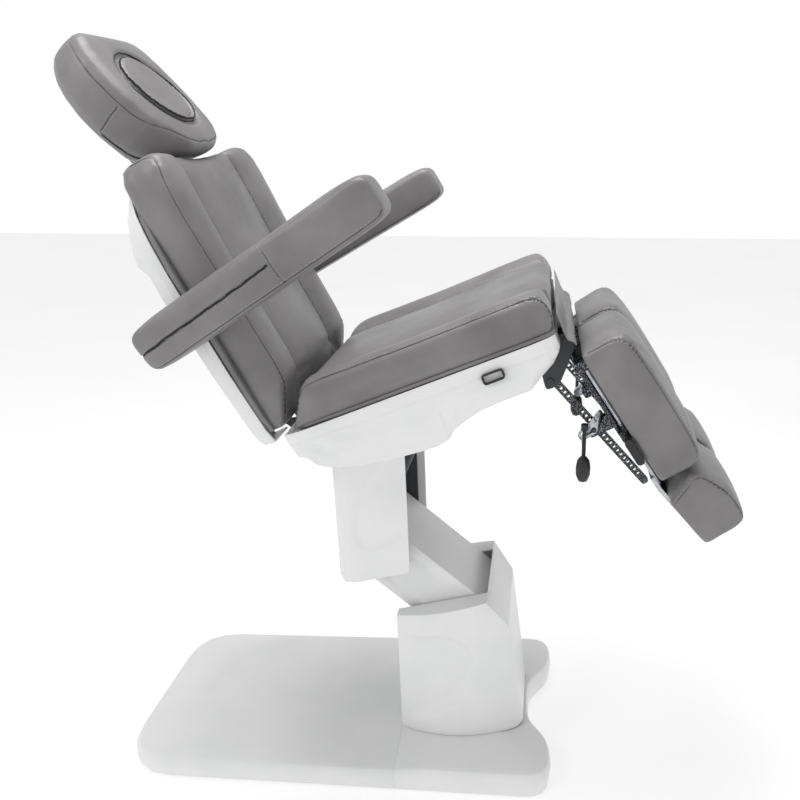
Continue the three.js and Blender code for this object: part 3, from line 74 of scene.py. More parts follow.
WORLD = Matrix.Translation((CENTRE_SHIFT * MM, 0, 0))
SEAT = frame_at(WORLD, -356, 0, 842, 22)  # at the tilt pins
BACK = frame_at(SEAT, -117, 0, 56, 4.3)  # at the recline hinge
HEAD = frame_at(BACK, -45, 0, 552, 18.7)  # at the headrest's hinge
ARM = {"right": frame_at(BACK, -42, -300, 260, 6.7), "left": frame_at(BACK, -42, 300, 260, 3.7)}
LEG = {side: frame_at(SEAT, 444, sign * 119.5, 27, -79) for side, sign in SIDES}  # at the leg hinges


# ---------------------------------------------------------------- colours and materials
def linear(code):
    """An sRGB hex colour as linear RGB."""
    channels = [int(code[i:i + 2], 16) / 255 for i in (0, 2, 4)]
    return [c / 12.92 if c <= 0.04045 else ((c + 0.055) / 1.055) ** 2.4 for c in channels]


def every(size):
    """The scale at which a pattern repeats about once in so many millimetres."""
    return 1 / (size * MM)


def add(tree, kind, settings=(), values=(), links=(), stops=()):
    """Adds one shader node with its settings, its socket values, the sockets that feed it and, on a colour
    ramp, its stops as (position, linear colour)."""
    made = tree.nodes.new(kind)
    for key, value in dict(settings).items():
        setattr(made, key, value)
    for key, value in dict(values).items():
        made.inputs[key].default_value = value
    for key, source in dict(links).items():
        tree.links.new(source, made.inputs[key])
    if stops:
        points = made.color_ramp.elements
        while len(points) < len(stops):
            points.new(0.5)
        for point, (position, colour) in zip(points, stops):
            point.position = position
            point.color = (*colour, 1)
    return made


def blank(name):
    """An empty material, with its tree and the place on the object that its patterns follow."""
    material = bpy.data.materials.new(name)
    material.use_nodes = True
    tree = material.node_tree
    tree.nodes.clear()
    return material, tree, add(tree, "ShaderNodeTexCoord").outputs["Object"]


def shaded(tree, values, links):
    """Ends a material with its shader and output."""
    surface = add(tree, "ShaderNodeBsdfPrincipled", values=values, links=links)
    add(tree, "ShaderNodeOutputMaterial", links={"Surface": surface.outputs["BSDF"]})


def synthetic_leather(name, shade, deep, light):
    """PVC-coated cloth, embossed with a fine leather grain and stretched over foam. The grain breaks
    up the highlight, slow shade changes read as stretch, and a soft gloss shows the foam's roundness."""
    material, tree, place = blank(name)
    slow = add(tree, "ShaderNodeTexNoise", values={"Scale": every(111), "Detail": 3.0}, links={"Vector": place})
    colour = add(tree, "ShaderNodeValToRGB", links={"Fac": slow.outputs["Fac"]},
                 stops=[(0.3, deep), (0.5, shade), (0.72, light)])
    # embossed cells of 1.1 mm, drawn at 2 mm so that they show
    cells = add(tree, "ShaderNodeTexVoronoi", {"feature": "DISTANCE_TO_EDGE"}, {"Scale": every(2)}, {"Vector": place})
    creases = add(tree, "ShaderNodeTexNoise", values={"Scale": every(16.7), "Detail": 6.0, "Distortion": 0.6},
                  links={"Vector": place})
    grain = add(tree, "ShaderNodeBump", values={"Strength": 0.18, "Distance": 0.4 * MM},
                links={"Height": cells.outputs["Distance"]})
    relief = add(tree, "ShaderNodeBump", values={"Strength": 0.12, "Distance": 1.2 * MM},
                 links={"Height": creases.outputs["Fac"], "Normal": grain.outputs["Normal"]})
    gloss = add(tree, "ShaderNodeMapRange", values={"To Min": 0.36, "To Max": 0.52},
                links={"Value": creases.outputs["Fac"]})
    shaded(tree, {"IOR": 1.52, "Coat Weight": 0.08, "Coat Roughness": 0.35}, {
        "Base Color": colour.outputs["Color"], "Roughness": gloss.outputs["Result"],
        "Normal": relief.outputs["Normal"]})
    return material


def moulded_plastic(name, shade, shadow, rough, ripple=0.05):
    """Injection-moulded plastic: a smooth skin with a faint flow ripple, so highlights stay soft edged."""
    material, tree, place = blank(name)
    flow = add(tree, "ShaderNodeTexNoise", values={"Scale": every(167), "Detail": 2.0}, links={"Vector": place})
    colour = add(tree, "ShaderNodeValToRGB", links={"Fac": flow.outputs["Fac"]},
                 stops=[(0.25, shadow), (0.6, shade)])
    # spark-eroded tool texture of 0.3 mm, drawn at 1.25 mm
    skin = add(tree, "ShaderNodeTexNoise", values={"Scale": every(1.25), "Detail": 2.0}, links={"Vector": place})
    relief = add(tree, "ShaderNodeBump", values={"Strength": ripple, "Distance": 0.3 * MM},
                 links={"Height": skin.outputs["Fac"]})
    gloss = add(tree, "ShaderNodeMapRange", values={"To Min": rough - 0.04, "To Max": rough + 0.06},
                links={"Value": flow.outputs["Fac"]})
    shaded(tree, {"IOR": 1.53}, {
        "Base Color": colour.outputs["Color"], "Roughness": gloss.outputs["Result"],
        "Normal": relief.outputs["Normal"]})
    return material


def chromed_steel(name):
    """Drawn steel rod under bright chrome: sharp streaks along the rod and a few dull handling marks."""
    material, tree, place = blank(name)
    # streaks 33 mm long and 0.1 mm wide, drawn 1.1 mm wide
    stretch = add(tree, "ShaderNodeMapping", values={"Scale": (every(33.3), every(1.11), every(1.11))},
                  links={"Vector": place})
    streaks = add(tree, "ShaderNodeTexNoise", values={"Scale": 1.0, "Detail": 4.0},
                  links={"Vector": stretch.outputs["Vector"]})
    marks = add(tree, "ShaderNodeTexNoise", values={"Scale": every(11.1), "Detail": 5.0}, links={"Vector": place})
    colour = add(tree, "ShaderNodeValToRGB", links={"Fac": marks.outputs["Fac"]},
                 stops=[(0.3, linear("9fa2a6")), (0.7, linear("c9ccd0"))])
    relief = add(tree, "ShaderNodeBump", values={"Strength": 0.06, "Distance": 0.2 * MM},
                 links={"Height": streaks.outputs["Fac"]})
    gloss = add(tree, "ShaderNodeMapRange", values={"To Min": 0.1, "To Max": 0.26},
                links={"Value": streaks.outputs["Fac"]})
    shaded(tree, {"Metallic": 1.0}, {
        "Base Color": colour.outputs["Color"], "Roughness": gloss.outputs["Result"],
        "Normal": relief.outputs["Normal"]})
    return material


def powder_coat(name, shade, light):
    """Polyester powder baked on welded steel: an orange-peel skin of about 2 mm with a satin gloss."""
    material, tree, place = blank(name)
    peel = add(tree, "ShaderNodeTexNoise", values={"Scale": every(2.08), "Detail": 2.0}, links={"Vector": place})
    tone = add(tree, "ShaderNodeTexNoise", values={"Scale": every(71.4), "Detail": 4.0}, links={"Vector": place})
    colour = add(tree, "ShaderNodeValToRGB", links={"Fac": tone.outputs["Fac"]}, stops=[(0.3, shade), (0.7, light)])
    relief = add(tree, "ShaderNodeBump", values={"Strength": 0.25, "Distance": 0.3 * MM},
                 links={"Height": peel.outputs["Fac"]})
    gloss = add(tree, "ShaderNodeMapRange", values={"To Min": 0.42, "To Max": 0.56},
                links={"Value": tone.outputs["Fac"]})
    shaded(tree, {"IOR": 1.5}, {
        "Base Color": colour.outputs["Color"], "Roughness": gloss.outputs["Result"],
        "Normal": relief.outputs["Normal"]})
    return material


def blued_steel(name):
    """Cold-rolled bar, blackened in hot salts, with bright spots of painted glint scattered over it."""
    material, tree, place = blank(name)
    # painted glints: bright spots of 1 mm, drawn at 2.4 mm
    glint_specks = add(tree, "ShaderNodeTexNoise", values={"Scale": every(2.38), "Detail": 3.0}, links={"Vector": place})
    colour = add(tree, "ShaderNodeValToRGB", links={"Fac": glint_specks.outputs["Fac"]},
                 stops=[(0.42, linear("232528")), (0.56, linear("4a4d52")), (0.66, linear("b9bcc0"))])
    relief = add(tree, "ShaderNodeBump", values={"Strength": 0.2, "Distance": 0.3 * MM},
                 links={"Height": glint_specks.outputs["Fac"]})
    gloss = add(tree, "ShaderNodeMapRange", values={"To Min": 0.5, "To Max": 0.28},
                links={"Value": glint_specks.outputs["Fac"]})
    shaded(tree, {"Metallic": 0.9}, {
        "Base Color": colour.outputs["Color"], "Roughness": gloss.outputs["Result"],
        "Normal": relief.outputs["Normal"]})
    return material


def sewing_thread(name, shade, light):
    """Bonded polyester thread: a paler grey than the cover, with a slight sheen and a twist of 1 mm."""
    material, tree, place = blank(name)
    bands = math.pi / 10  # from band to band of a wave pattern at a scale of 1
    twist = add(tree, "ShaderNodeTexWave", values={"Scale": bands * every(1.05), "Distortion": 0.5},
                links={"Vector": place})
    colour = add(tree, "ShaderNodeValToRGB", links={"Fac": twist.outputs["Fac"]}, stops=[(0.0, shade), (1.0, light)])
    shaded(tree, {"IOR": 1.5, "Roughness": 0.55}, {"Base Color": colour.outputs["Color"]})
    return material


# ---------------------------------------------------------------- meshes
def new_object(name, mesh):
    made = bpy.data.objects.new(name, mesh)
    bpy.context.scene.collection.objects.link(made)
    return made


def object_from(bm, name):
    """Turns a bmesh into a smooth-shaded object at the origin."""
    for face in bm.faces:
        face.smooth = True
    mesh = bpy.data.meshes.new(name)
    bm.to_mesh(mesh)
    bm.free()
    return new_object(name, mesh)


def cad_copy(node):
    """A merged copy of a CAD node's mesh, as a bmesh."""
    bm = bmesh.new()
    bm.from_mesh(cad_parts[node].data)
    bmesh.ops.remove_doubles(bm, verts=bm.verts, dist=0.00002)
    return bm


def mesh_of(made):
    """The mesh that an object shows, with its modifiers applied."""
    graph = bpy.context.evaluated_depsgraph_get()
    graph.update()
    return bpy.data.meshes.new_from_object(made.evaluated_get(graph))


def settle(made):
    """Applies an object's modifiers to its mesh."""
    mesh = mesh_of(made)
    made.modifiers.clear()
    made.data = mesh


def subdivided(made):
    """Rounds a mesh by one level of subdivision."""
    rounded = made.modifiers.new("Subdivision", "SUBSURF")
    rounded.levels = rounded.render_levels = 1
    settle(made)
    for face in made.data.polygons:
        face.use_smooth = True


def bevelled(made, width, segments, sharp, turn=None):
    """Rounds the edges of a mesh that turn by more than so many degrees, and keeps the sharp ones crisp."""
    edge = made.modifiers.new("Bevel", "BEVEL")
    edge.width, edge.segments = width * MM, segments
    if turn is not None:
        edge.limit_method, edge.angle_limit = "ANGLE", math.radians(turn)
    settle(made)
    made.data.set_sharp_from_angle(angle=math.radians(sharp))


def walled(bm, loops, closed):
    """Joins neighbouring loops of as many points with faces, the last to the first one where closed."""
    for a, b in zip(loops, loops[1:] + loops[:1] if closed else loops[1:]):
        for i in range(len(a)):
            k = (i + 1) % len(a)
            bm.faces.new((a[i], b[i], b[k], a[k]))
    bmesh.ops.recalc_face_normals(bm, faces=bm.faces)


def surface_of(made):
    """The search tree of an object's surface."""
    bm = bmesh.new()
    bm.from_mesh(made.data)
    tree = BVHTree.FromBMesh(bm)
    bm.free()
    return tree


def paint(made, material):
    made.data.materials.clear()
    made.data.materials.append(material)


# ---------------------------------------------------------------- seams on a pad
def path_points(frame_matrix, points, closed=False):
    """Local millimetre points joined by a smooth curve and sampled every couple of millimetres."""
    corners = [Vector(point) * MM for point in points]
    count = len(corners)
    spans = count if closed else count - 1
    out = []
    for i in range(spans):
        if closed:
            p0, p1, p2, p3 = (corners[(i + k) % count] for k in (-1, 0, 1, 2))
        else:
            p0, p1, p2, p3 = (corners[min(max(i + k, 0), count - 1)] for k in (-1, 0, 1, 2))
        pieces = max(2, int((p2 - p1).length / SEAM_STEP))
        for j in range(pieces):
            t = j / pieces
            out.append(0.5 * ((2 * p1) + (p2 - p0) * t + (2 * p0 - 5 * p1 + 4 * p2 - p3) * t * t
                              + (3 * p1 - p0 - 3 * p2 + p3) * t ** 3))
    out.append(out[0] if closed else corners[-1])
    return [frame_matrix @ point for point in out]


def evened(line, closed, reach=5):
    """A laid line with its small waves averaged out."""
    count = len(line)
    out = []
    for i, (_, normal) in enumerate(line):
        around = [(i + k) % count if closed else min(max(i + k, 0), count - 1) for k in range(-reach, reach + 1)]
        out.append((sum((line[k][0] for k in around), Vector()) / len(around), normal))
    return out


class Seam:
    """One sewn line: where it runs, how deep and wide it pulls the cover in, where it puckers as (centre,
    half length, height, pitch), the rows of stitches beside it, and whether it is an open slit, in which a
    near-black tube of painted shade is laid."""

    def __init__(self, points, depth=1.6, width=2.4, pucker=(), rows=(), closed=False, shaded_slit=False):
        self.points, self.depth, self.width = points, depth * MM, width * MM
        self.pucker, self.rows, self.closed, self.shaded_slit = pucker, rows, closed, shaded_slit

    def path(self, matrix):
        return path_points(matrix, self.points, closed=self.closed)

    def laid_on(self, surface, matrix):
        """The seam where it meets a surface."""
        return [surface.find_nearest(point)[:2] for point in self.path(matrix)]


def seam_tree(line):
    tree = KDTree(len(line))
    for i, (point, _) in enumerate(line):
        tree.insert(point, i)
    tree.balance()
    return tree


def box_of(line, margin):
    """The lowest and highest corner of a seam, with a margin."""
    low = [min(point[k] for point, _ in line) - margin for k in range(3)]
    high = [max(point[k] for point, _ in line) + margin for k in range(3)]
    return low, high


def inside(point, box):
    return all(box[0][k] < point[k] < box[1][k] for k in range(3))


def puckered(seam, share, step, distance, spot, seed):
    """How far the cover stands up at a place beside a seam."""
    height = 0.0
    for centre, spell, crest, pitch in seam.pucker:
        away = (share - centre) / spell
        if abs(away) < 1:
            drift = 3 * noise.noise(spot * 30 + Vector((seed, 0, 0)))
            wave = math.sin(2 * math.pi * step * SEAM_STEP / (pitch * MM) + drift)
            fade = (1 - away * away) * math.exp(-distance / (10 * MM)) * min(1, distance / (2 * MM))
            height += crest * MM * wave * fade
    return height


def sewn_surface(made, matrix, seams, seed):
    """Pulls the cover in along its seams and puckers it beside them."""
    bm = bmesh.new()
    bm.from_mesh(made.data)
    surface = BVHTree.FromBMesh(bm)
    laid = [seam.laid_on(surface, matrix) for seam in seams]
    trees = [seam_tree(line) for line in laid]
    close = set()
    for line, tree in zip(laid, trees):
        box = box_of(line, SEAM_SKIN)
        close.update(vert for vert in bm.verts if inside(vert.co, box) and tree.find(vert.co)[2] < SEAM_SKIN)
    fine = [edge for edge in bm.edges if edge.verts[0] in close and edge.verts[1] in close]
    bmesh.ops.subdivide_edges(bm, edges=fine, cuts=2, use_grid_fill=True)
    bm.normal_update()
    moves = {}
    for seam, line, tree in zip(seams, laid, trees):
        reach = PUCKER_REACH if seam.pucker else SEAM_REACH
        box = box_of(line, reach)
        for vert in bm.verts:
            if not inside(vert.co, box):
                continue
            _, step, distance = tree.find(vert.co)
            if distance > reach:
                continue
            pull = -seam.depth * math.exp(-((distance / seam.width) ** 2))
            rise = puckered(seam, step / max(1, len(line) - 1), step, distance, vert.co, seed)
            moves[vert] = moves.get(vert, 0.0) + pull + rise
    for vert, move in moves.items():
        vert.co += vert.normal * move
    bm.to_mesh(made.data)
    bm.free()


def seam_shade_lines(node, made, matrix, seams, body):
    """Lays painted shade in the furrow that each sewn line pulls: a thin dark grey tube along each seam,
    and a wider near-black tube in each open slit.
    """
    surface = surface_of(made)
    for name, finish, shaded_slit, radius in (
        ("shade_lines", "painted_seam_shade", False, 0.8 * MM), ("slit_shades", "painted_slit_shade", True, 1.5 * MM),
    ):
        chosen = [seam for seam in seams if seam.shaded_slit == shaded_slit]
        if not chosen:
            continue
        curve = bpy.data.curves.new(node + "_line", "CURVE")
        curve.dimensions, curve.bevel_resolution, curve.bevel_depth = "3D", 1, radius
        for seam in chosen:
            line = evened(seam.laid_on(surface, matrix), seam.closed)[::2]
            spline = curve.splines.new("POLY")
            spline.points.add(len(line) - 1)
            for place, (point, normal) in zip(spline.points, line):
                place.co = (*(point - normal * radius * 0.35), 1)  # about a third of the tube stays out
        drawn = new_object(node + "_line", curve)
        shown = new_object(node + "_" + name, mesh_of(drawn))
        bpy.data.objects.remove(drawn)
        paint(shown, finish_named(finish))
        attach(shown, body)


def stitch(bm, here, ahead, normal, settings):
    """Adds one stitch: a small spindle of thread on the cover."""
    side = ahead.cross(normal).normalized()
    turn = Matrix((ahead, side, side.cross(ahead))).transposed().to_4x4()
    size = Matrix.Diagonal((settings.stitch_length / 2, settings.thread / 2, settings.thread / 2, 1))
    place = Matrix.Translation(here + normal * settings.thread * 0.15)
    along = Matrix.Rotation(math.pi / 2, 4, "Y")
    bmesh.ops.create_uvsphere(bm, u_segments=6, v_segments=4, radius=1.0, matrix=place @ turn @ size @ along)


def stitch_rows(node, made, matrix, seams, body):
    """Rows of top stitching beside the seams. A 3 mm stitch of 0.5 mm thread is drawn 5 mm by 1.1 mm."""
    settings = bpy.context.scene.chair_settings
    surface = surface_of(made)
    bm = bmesh.new()
    for seam in seams:
        line = evened(seam.laid_on(surface, matrix), seam.closed)
        for offset in seam.rows:
            moved = []
            for i, (point, normal) in enumerate(line):
                ahead = line[min(i + 1, len(line) - 1)][0] - line[max(i - 1, 0)][0]
                side = ahead.normalized().cross(normal).normalized()
                moved.append(surface.find_nearest(point + side * offset * MM)[:2])
            moved = evened(moved, seam.closed, 3)
            travelled, due = 0.0, 0.0
            for (here, normal), (there, _) in zip(moved, moved[1:]):
                step = there - here
                travelled += step.length
                if travelled >= due and step.length > 1e-6:
                    due = travelled + settings.stitch_pitch
                    stitch(bm, here, step.normalized(), normal, settings)
    if not bm.verts:
        bm.free()
        return
    thread = object_from(bm, node + "_stitching")
    paint(thread, finish_named("sewing_thread_bonded"))
    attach(thread, body)


# ---------------------------------------------------------------- stuffed pads
FLAT_ON_BOARD = 0.93  # cosine of the angle to the board under which the cover stays on it


def inflate(made, held, cap, frames=12):
    """Blows the cover out over its foam with cloth pressure, pinned where it is sewn or rests on its board."""
    scene = bpy.context.scene
    before = [vert.co.copy() for vert in made.data.vertices]
    made.vertex_groups.new(name="held").add(held, 1.0, "REPLACE")
    cloth = made.modifiers.new("Cloth", "CLOTH")
    values = cloth.settings
    values.quality = 3
    values.mass = 0.3
    values.tension_stiffness = values.compression_stiffness = 20
    values.shear_stiffness = 8
    values.bending_stiffness = 0.6
    values.use_pressure = True
    values.uniform_pressure_force = 4
    values.vertex_group_mass = "held"
    values.effector_weights.gravity = 0
    cloth.collision_settings.use_collision = False
    cloth.point_cache.frame_start, cloth.point_cache.frame_end = 1, frames
    for number in range(1, frames + 1):
        scene.frame_set(number)
    graph = bpy.context.evaluated_depsgraph_get()
    moved = [vert.co.copy() for vert in made.evaluated_get(graph).data.vertices]
    made.modifiers.clear()
    made.vertex_groups.clear()
    scene.frame_set(1)
    for vert, start, end in zip(made.data.vertices, before, moved):
        step = end - start
        if step.length > cap:
            step *= cap / step.length
        vert.co = start + step
    made.data.update()


def stuffed(node, matrix, seams, voxel, shrink, cap, down, seed):
    """Makes one pad from the room that its CAD solid holds: shrunk except where it rests on its board,
    remeshed, smoothed, inflated and sewn."""
    bm = cad_copy(node)
    bm.normal_update()
    for vert in bm.verts:
        inward = vert.normal * -shrink * MM
        if vert.normal.dot(down) > 0.3:
            inward -= down * inward.dot(down)
        vert.co += inward
    made = object_from(bm, node + "_stuffed")
    remesh = made.modifiers.new("Remesh", "REMESH")
    remesh.mode, remesh.voxel_size = "VOXEL", voxel * MM
    settle(made)
    bm = bmesh.new()
    bm.from_mesh(made.data)
    for _ in range(2):
        bmesh.ops.smooth_vert(bm, verts=bm.verts, factor=0.5, use_axis_x=True, use_axis_y=True, use_axis_z=True)
    surface = BVHTree.FromBMesh(bm)
    sewn = seam_tree([spot for seam in seams for spot in seam.laid_on(surface, matrix)])
    bm.normal_update()
    held = [
        vert.index for vert in bm.verts
        if vert.normal.dot(down) > FLAT_ON_BOARD or sewn.find(vert.co)[2] < voxel * MM * 0.75
    ]
    bm.to_mesh(made.data)
    bm.free()
    inflate(made, held, cap * MM)
    subdivided(made)
    sewn_surface(made, matrix, seams, seed)
    return made


def sew_pad(node, matrix, body, seams, voxel, shrink, cap, rest, seed):
    """Makes a pad with its seams. voxel, shrink and cap are in millimetres, rest is the local way to its board."""
    down = (matrix.to_3x3() @ Vector(rest)).normalized()
    made = stuffed(node, matrix, seams, voxel, shrink, cap, down, seed)
    paint(made, finish_named("synthetic_leather"))
    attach(made, body)
    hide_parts(node)
    seam_shade_lines(node, made, matrix, seams, body)
    stitch_rows(node, made, matrix, seams, body)


def seat_seams():
    seams = []
    for _, sign in SIDES:
        side = [(-99, 238, 76), (-88, 247, 112), (-70, 250, 138), (-35, 250, 149), (60, 250, 151), (200, 250, 149),
                (330, 250, 150), (405, 249, 150), (432, 246, 142), (444, 242, 118), (448, 240, 78)]
        seams.append(Seam([(x, sign * y, z) for x, y, z in side], 1.5, 2.6,
                          pucker=[(0.9, 0.12, 1.6, 11), (0.06, 0.1, 1.2, 10)], rows=(5 * sign,)))
        inner = [(-58, 160, 135), (100, 162, 137), (280, 162, 137), (405, 161, 138), (440, 159, 130), (455, 157, 106)]
        seams.append(Seam([(x, sign * y, z) for x, y, z in inner], 2.2, 4.5, rows=(-6 * sign,)))
    return seams


def back_seams():
    seams = []
    for _, sign in SIDES:
        outer = [(22, 222, 40), (44, 226, 70), (58, 227, 110), (58, 228, 160), (56, 228, 240), (52, 228, 330),
                 (50, 228, 400), (50, 228, 450), (54, 227, 500), (60, 224, 530), (58, 216, 550), (30, 212, 562),
                 (0, 210, 563)]
        seams.append(Seam([(x, sign * y, z) for x, y, z in outer], 1.4, 2.4, pucker=[(0.08, 0.1, 1.4, 11)]))
        inner = [(42, 122, 90), (46, 123, 120), (48, 124, 160), (47, 124, 240), (46, 124, 330), (47, 124, 400),
                 (49, 124, 450), (50, 122, 500), (46, 119, 535), (30, 117, 550)]
        seams.append(Seam([(x, sign * y, z) for x, y, z in inner], 2.0, 4.0, rows=(6 * sign,)))
    return seams


PANEL_CENTRE = 103  # height of the oval panel's middle over the headrest's hinge


def oval_seam(half_width, half_height, out):
    """The closed slit round the headrest's oval panel."""
    turns = [2 * math.pi * i / 24 for i in range(24)]
    line = [(out, half_width * math.sin(turn), PANEL_CENTRE + half_height * math.cos(turn)) for turn in turns]
    return Seam(line, 4.0, 6.0, closed=True, shaded_slit=True)


def squared(angle):
    """Cosine of an angle, filled out so that a circle of it has fuller corners."""
    return math.copysign(abs(math.cos(angle)) ** 0.85, math.cos(angle))


def headrest_seams():
    height, half_width, depth, turns = 262, 149, 122, 26
    rim = []
    for i in range(turns):
        angle = 2 * math.pi * i / turns
        up = 0.44 + 0.53 * squared(angle)  # share of the height
        forward = (0.7, 0.2, 0, 0, 0.03, 0.1, 0.2, 0.3)[min(7, max(0, int((up + 0.11) * 7)))]
        rim.append(((forward * 0.2 + 0.8) * depth, half_width * squared(angle - math.pi / 2), up * height))
    seams = [Seam(rim, 1.2, 2.4, closed=True)]
    for _, sign in SIDES:
        across = [(22, sign * 146, 84), (55, sign * 150, 84), (92, sign * 148, 84)]
        seams.append(Seam(across, 1.2, 2.2, rows=(-3.5 * sign, 3.5 * sign)))
        slit = [(20, sign * 144, 82), (18, sign * 138, 50), (26, sign * 118, 20), (46, sign * 90, -4)]
        seams.append(Seam(slit, 3.0, 2.2, rows=(5 * sign,), shaded_slit=True))
    seams.append(oval_seam(90, 84, 125))
    return seams


def armrest_seams(sign):
    """sign points to the arm's outer side."""
    out = sign * 43
    seams = [
        Seam([(-58, out * 0.7, 8), (-40, out, 9), (60, out, 11), (150, out, 12), (232, out, 14)], 3.2, 2.2,
             pucker=[(0.5, 0.5, 0.5, 24)], rows=(7 * sign, -8 * sign), shaded_slit=True),
        Seam([(238, out * 0.85, 50), (238, out, 36), (236, out, 10), (236, out, -12), (238, out * 0.9, -27)], 1.2, 2.2,
             rows=(-3.5 * sign, 3.5 * sign)),
        Seam([(-52, out * 0.9, -24), (60, out * 0.96, -26), (240, out * 0.96, -26), (400, out * 0.96, -26),
              (446, out * 0.9, -20)], 1.3, 2.4, rows=(4 * sign,)),
        Seam([(-52, -out * 0.9, -24), (60, -out * 0.96, -26), (240, -out * 0.96, -26), (400, -out * 0.96, -26),
              (446, -out * 0.9, -20)], 1.3, 2.4),
    ]
    return seams


def leg_seams():
    seams = []
    for sign in (-1, 1):
        loop = [(24, 103, 24), (22, 107, 60), (28, 108, 84), (48, 108, 99), (100, 109, 104), (200, 109, 106),
                (284, 108, 104), (310, 106, 94), (319, 102, 60), (320, 100, 24)]
        seams.append(Seam([(x, sign * y, z) for x, y, z in loop], 1.5, 2.6,
                          pucker=[(0.22, 0.13, 1.7, 10), (0.78, 0.08, 0.8, 11)], rows=(4 * sign,)))
    return seams


def foot_seams():
    seams = []
    for sign in (-1, 1):
        loop = [(372, 104, 12), (354, 108, 48), (341, 108, 78), (349, 108, 92), (393, 109, 109), (444, 109, 118),
                (470, 107, 116), (481, 105, 80), (485, 102, 30)]
        seams.append(Seam([(x, sign * y, z) for x, y, z in loop], 1.3, 2.4, pucker=[(0.4, 0.14, 1.5, 9)],
                          rows=(3.5 * sign,)))
    return seams


# ---------------------------------------------------------------- finishes kept by name
FINISHES = {}


def finish_named(name):
    """The material of that name, made the first time that it is asked for."""
    if name not in FINISHES:
        colours = bpy.context.scene.chair_settings
        grey = [linear(code) for code in ("6f6d6e", "858384")]
        makers = {
            "synthetic_leather": lambda: synthetic_leather(name, colours.cover_shade, *grey),
            "white_abs_moulded": lambda: moulded_plastic(name, colours.shell_shade, linear("e3e4e4"), 0.36),
            "black_nylon_moulded": lambda: moulded_plastic(name, linear("1b1c1e"), linear("121314"), 0.42, 0.3),
            "chromed_steel_drawn": lambda: chromed_steel(name),
            "powder_coated_steel": lambda: powder_coat(name, colours.frame_shade, linear("3a3c40")),
            "blued_steel_painted_glints": lambda: blued_steel(name),
            # painted shade: a dark grey tube in each seam's furrow, where the turned-in cover gets little light
            "painted_seam_shade": lambda: moulded_plastic(name, linear("4b494a"), linear("434142"), 0.8, 0.0),
            # painted shade: a near-black tube laid deep in each open slit
            "painted_slit_shade": lambda: moulded_plastic(name, linear("222122"), linear("1c1b1c"), 0.85, 0.0),
            "foot_rubber_moulded": lambda: moulded_plastic(name, linear("202122"), linear("161617"), 0.7, 0.4),
            "sewing_thread_bonded": lambda: sewing_thread(name, linear("8d8b8c"), linear("b3b2b3")),
        }
        FINISHES[name] = makers[name]()
    return FINISHES[name]


BARE_PARTS = {
    "powder_coated_steel": (
        "base_plate", "column_frame", "arm_frame", "lower_link", "bracket_frame", "lift_motor", "tilt_motor",
        "back_motor", "seat_frame", "back_frame", "headrest_carrier",
    ),
    "chromed_steel_drawn": (
        "lift_arm_pin", "lower_link_pin", "lift_motor_rod", "upper_arm_pin", "upper_link_pin", "tilt_pin_right",
        "tilt_pin_left", "tilt_motor_rod", "back_hinge_pin_right", "back_hinge_pin_left", "back_motor_rod",
        "headrest_bars", "foot_slide_right", "foot_slide_left",
    ),
    "blued_steel_painted_glints": ("leg_frame_right", "leg_frame_left", "leg_strut_right", "leg_strut_left"),
    "black_nylon_moulded": ("foot_clamp_right", "foot_clamp_left"),
    "foot_rubber_moulded": ("rear_foot_right", "rear_foot_left", "front_foot_right", "front_foot_left"),
    "synthetic_leather": ("seat_board", "back_board"),  # the cover is pulled round the board's edge
}
COVERS = {
    "rear_base_cover": "base", "front_base_cover": "base", "column_cover": "base", "arm_cover": "lift_arm",
    "link_cover": "lower_link", "bracket_cover": "bracket", "seat_shell": "seat", "back_shell": "back",
}


def gridded(bm, matrix, low, high, pitch=6):
    """Cuts a mesh along upright and level planes a pitch apart between two local (x, z) corners, so that a
    mark can be sunk in it."""
    for axis, way in ((0, Vector((1, 0, 0))), (1, Vector((0, 0, 1)))):
        for i in range(int((high[axis] - low[axis]) / pitch) + 1):
            spot = matrix @ (way * (low[axis] + i * pitch) * MM)
            whole = [*bm.verts, *bm.edges, *bm.faces]
            bmesh.ops.bisect_plane(bm, geom=whole, plane_co=spot, plane_no=matrix.to_3x3() @ way, dist=1e-6)


def within(edge, spot):
    """Whether a local spot lies inside a closed line, seen along y."""
    crossings = 0
    for a, b in zip(edge, edge[1:]):
        if (a.z > spot.z) != (b.z > spot.z) and spot.x < a.x + (spot.z - a.z) / (b.z - a.z) * (b.x - a.x):
            crossings += 1
    return crossings % 2 == 1


def ease(share):
    """A share from 0 to 1 with a soft start and end."""
    share = min(max(share, 0), 1)
    return share * share * (3 - 2 * share)


def sunk(bm, matrix, outline, reach, band, depth, fade, through=False):
    """Sinks the skin on both sides inside an outline of (x, z), where it lies beyond reach from the middle,
    over a slope as wide as the band. The mark is deep from the fade's second x on and gone at the first.
    through takes the inner skin along."""
    local = matrix.inverted()
    edge = [local @ point for point in path_points(matrix, [(x, 0, z) for x, z in outline], closed=True)]
    tree = seam_tree([(point, None) for point in edge])
    bm.normal_update()
    for _, side in SIDES:
        way = matrix.to_3x3() @ Vector((0, side, 0))
        for vert in bm.verts:
            spot = local @ vert.co
            if spot.y * side < reach * MM or not through and vert.normal.dot(way) < 0.3:
                continue
            flat = Vector((spot.x, 0, spot.z))
            if within(edge, flat):
                slope = ease(tree.find(flat)[2] / (band * MM))
                vert.co -= way * depth * MM * slope * ease((spot.x / MM - fade[0]) / (fade[1] - fade[0]))


def mark_column(bm):
    """The D-shaped sweep on each side panel."""
    gridded(bm, WORLD, (-316, 88), (-118, 362))
    outline = ((-318, 330), (-266, 346), (-212, 352), (-166, 340), (-141, 310), (-132, 270), (-147, 220), (-180, 165),
               (-232, 120), (-290, 97), (-318, 96))
    sunk(bm, WORLD, outline, reach=108, band=27, depth=13, fade=(-316, -246), through=True)


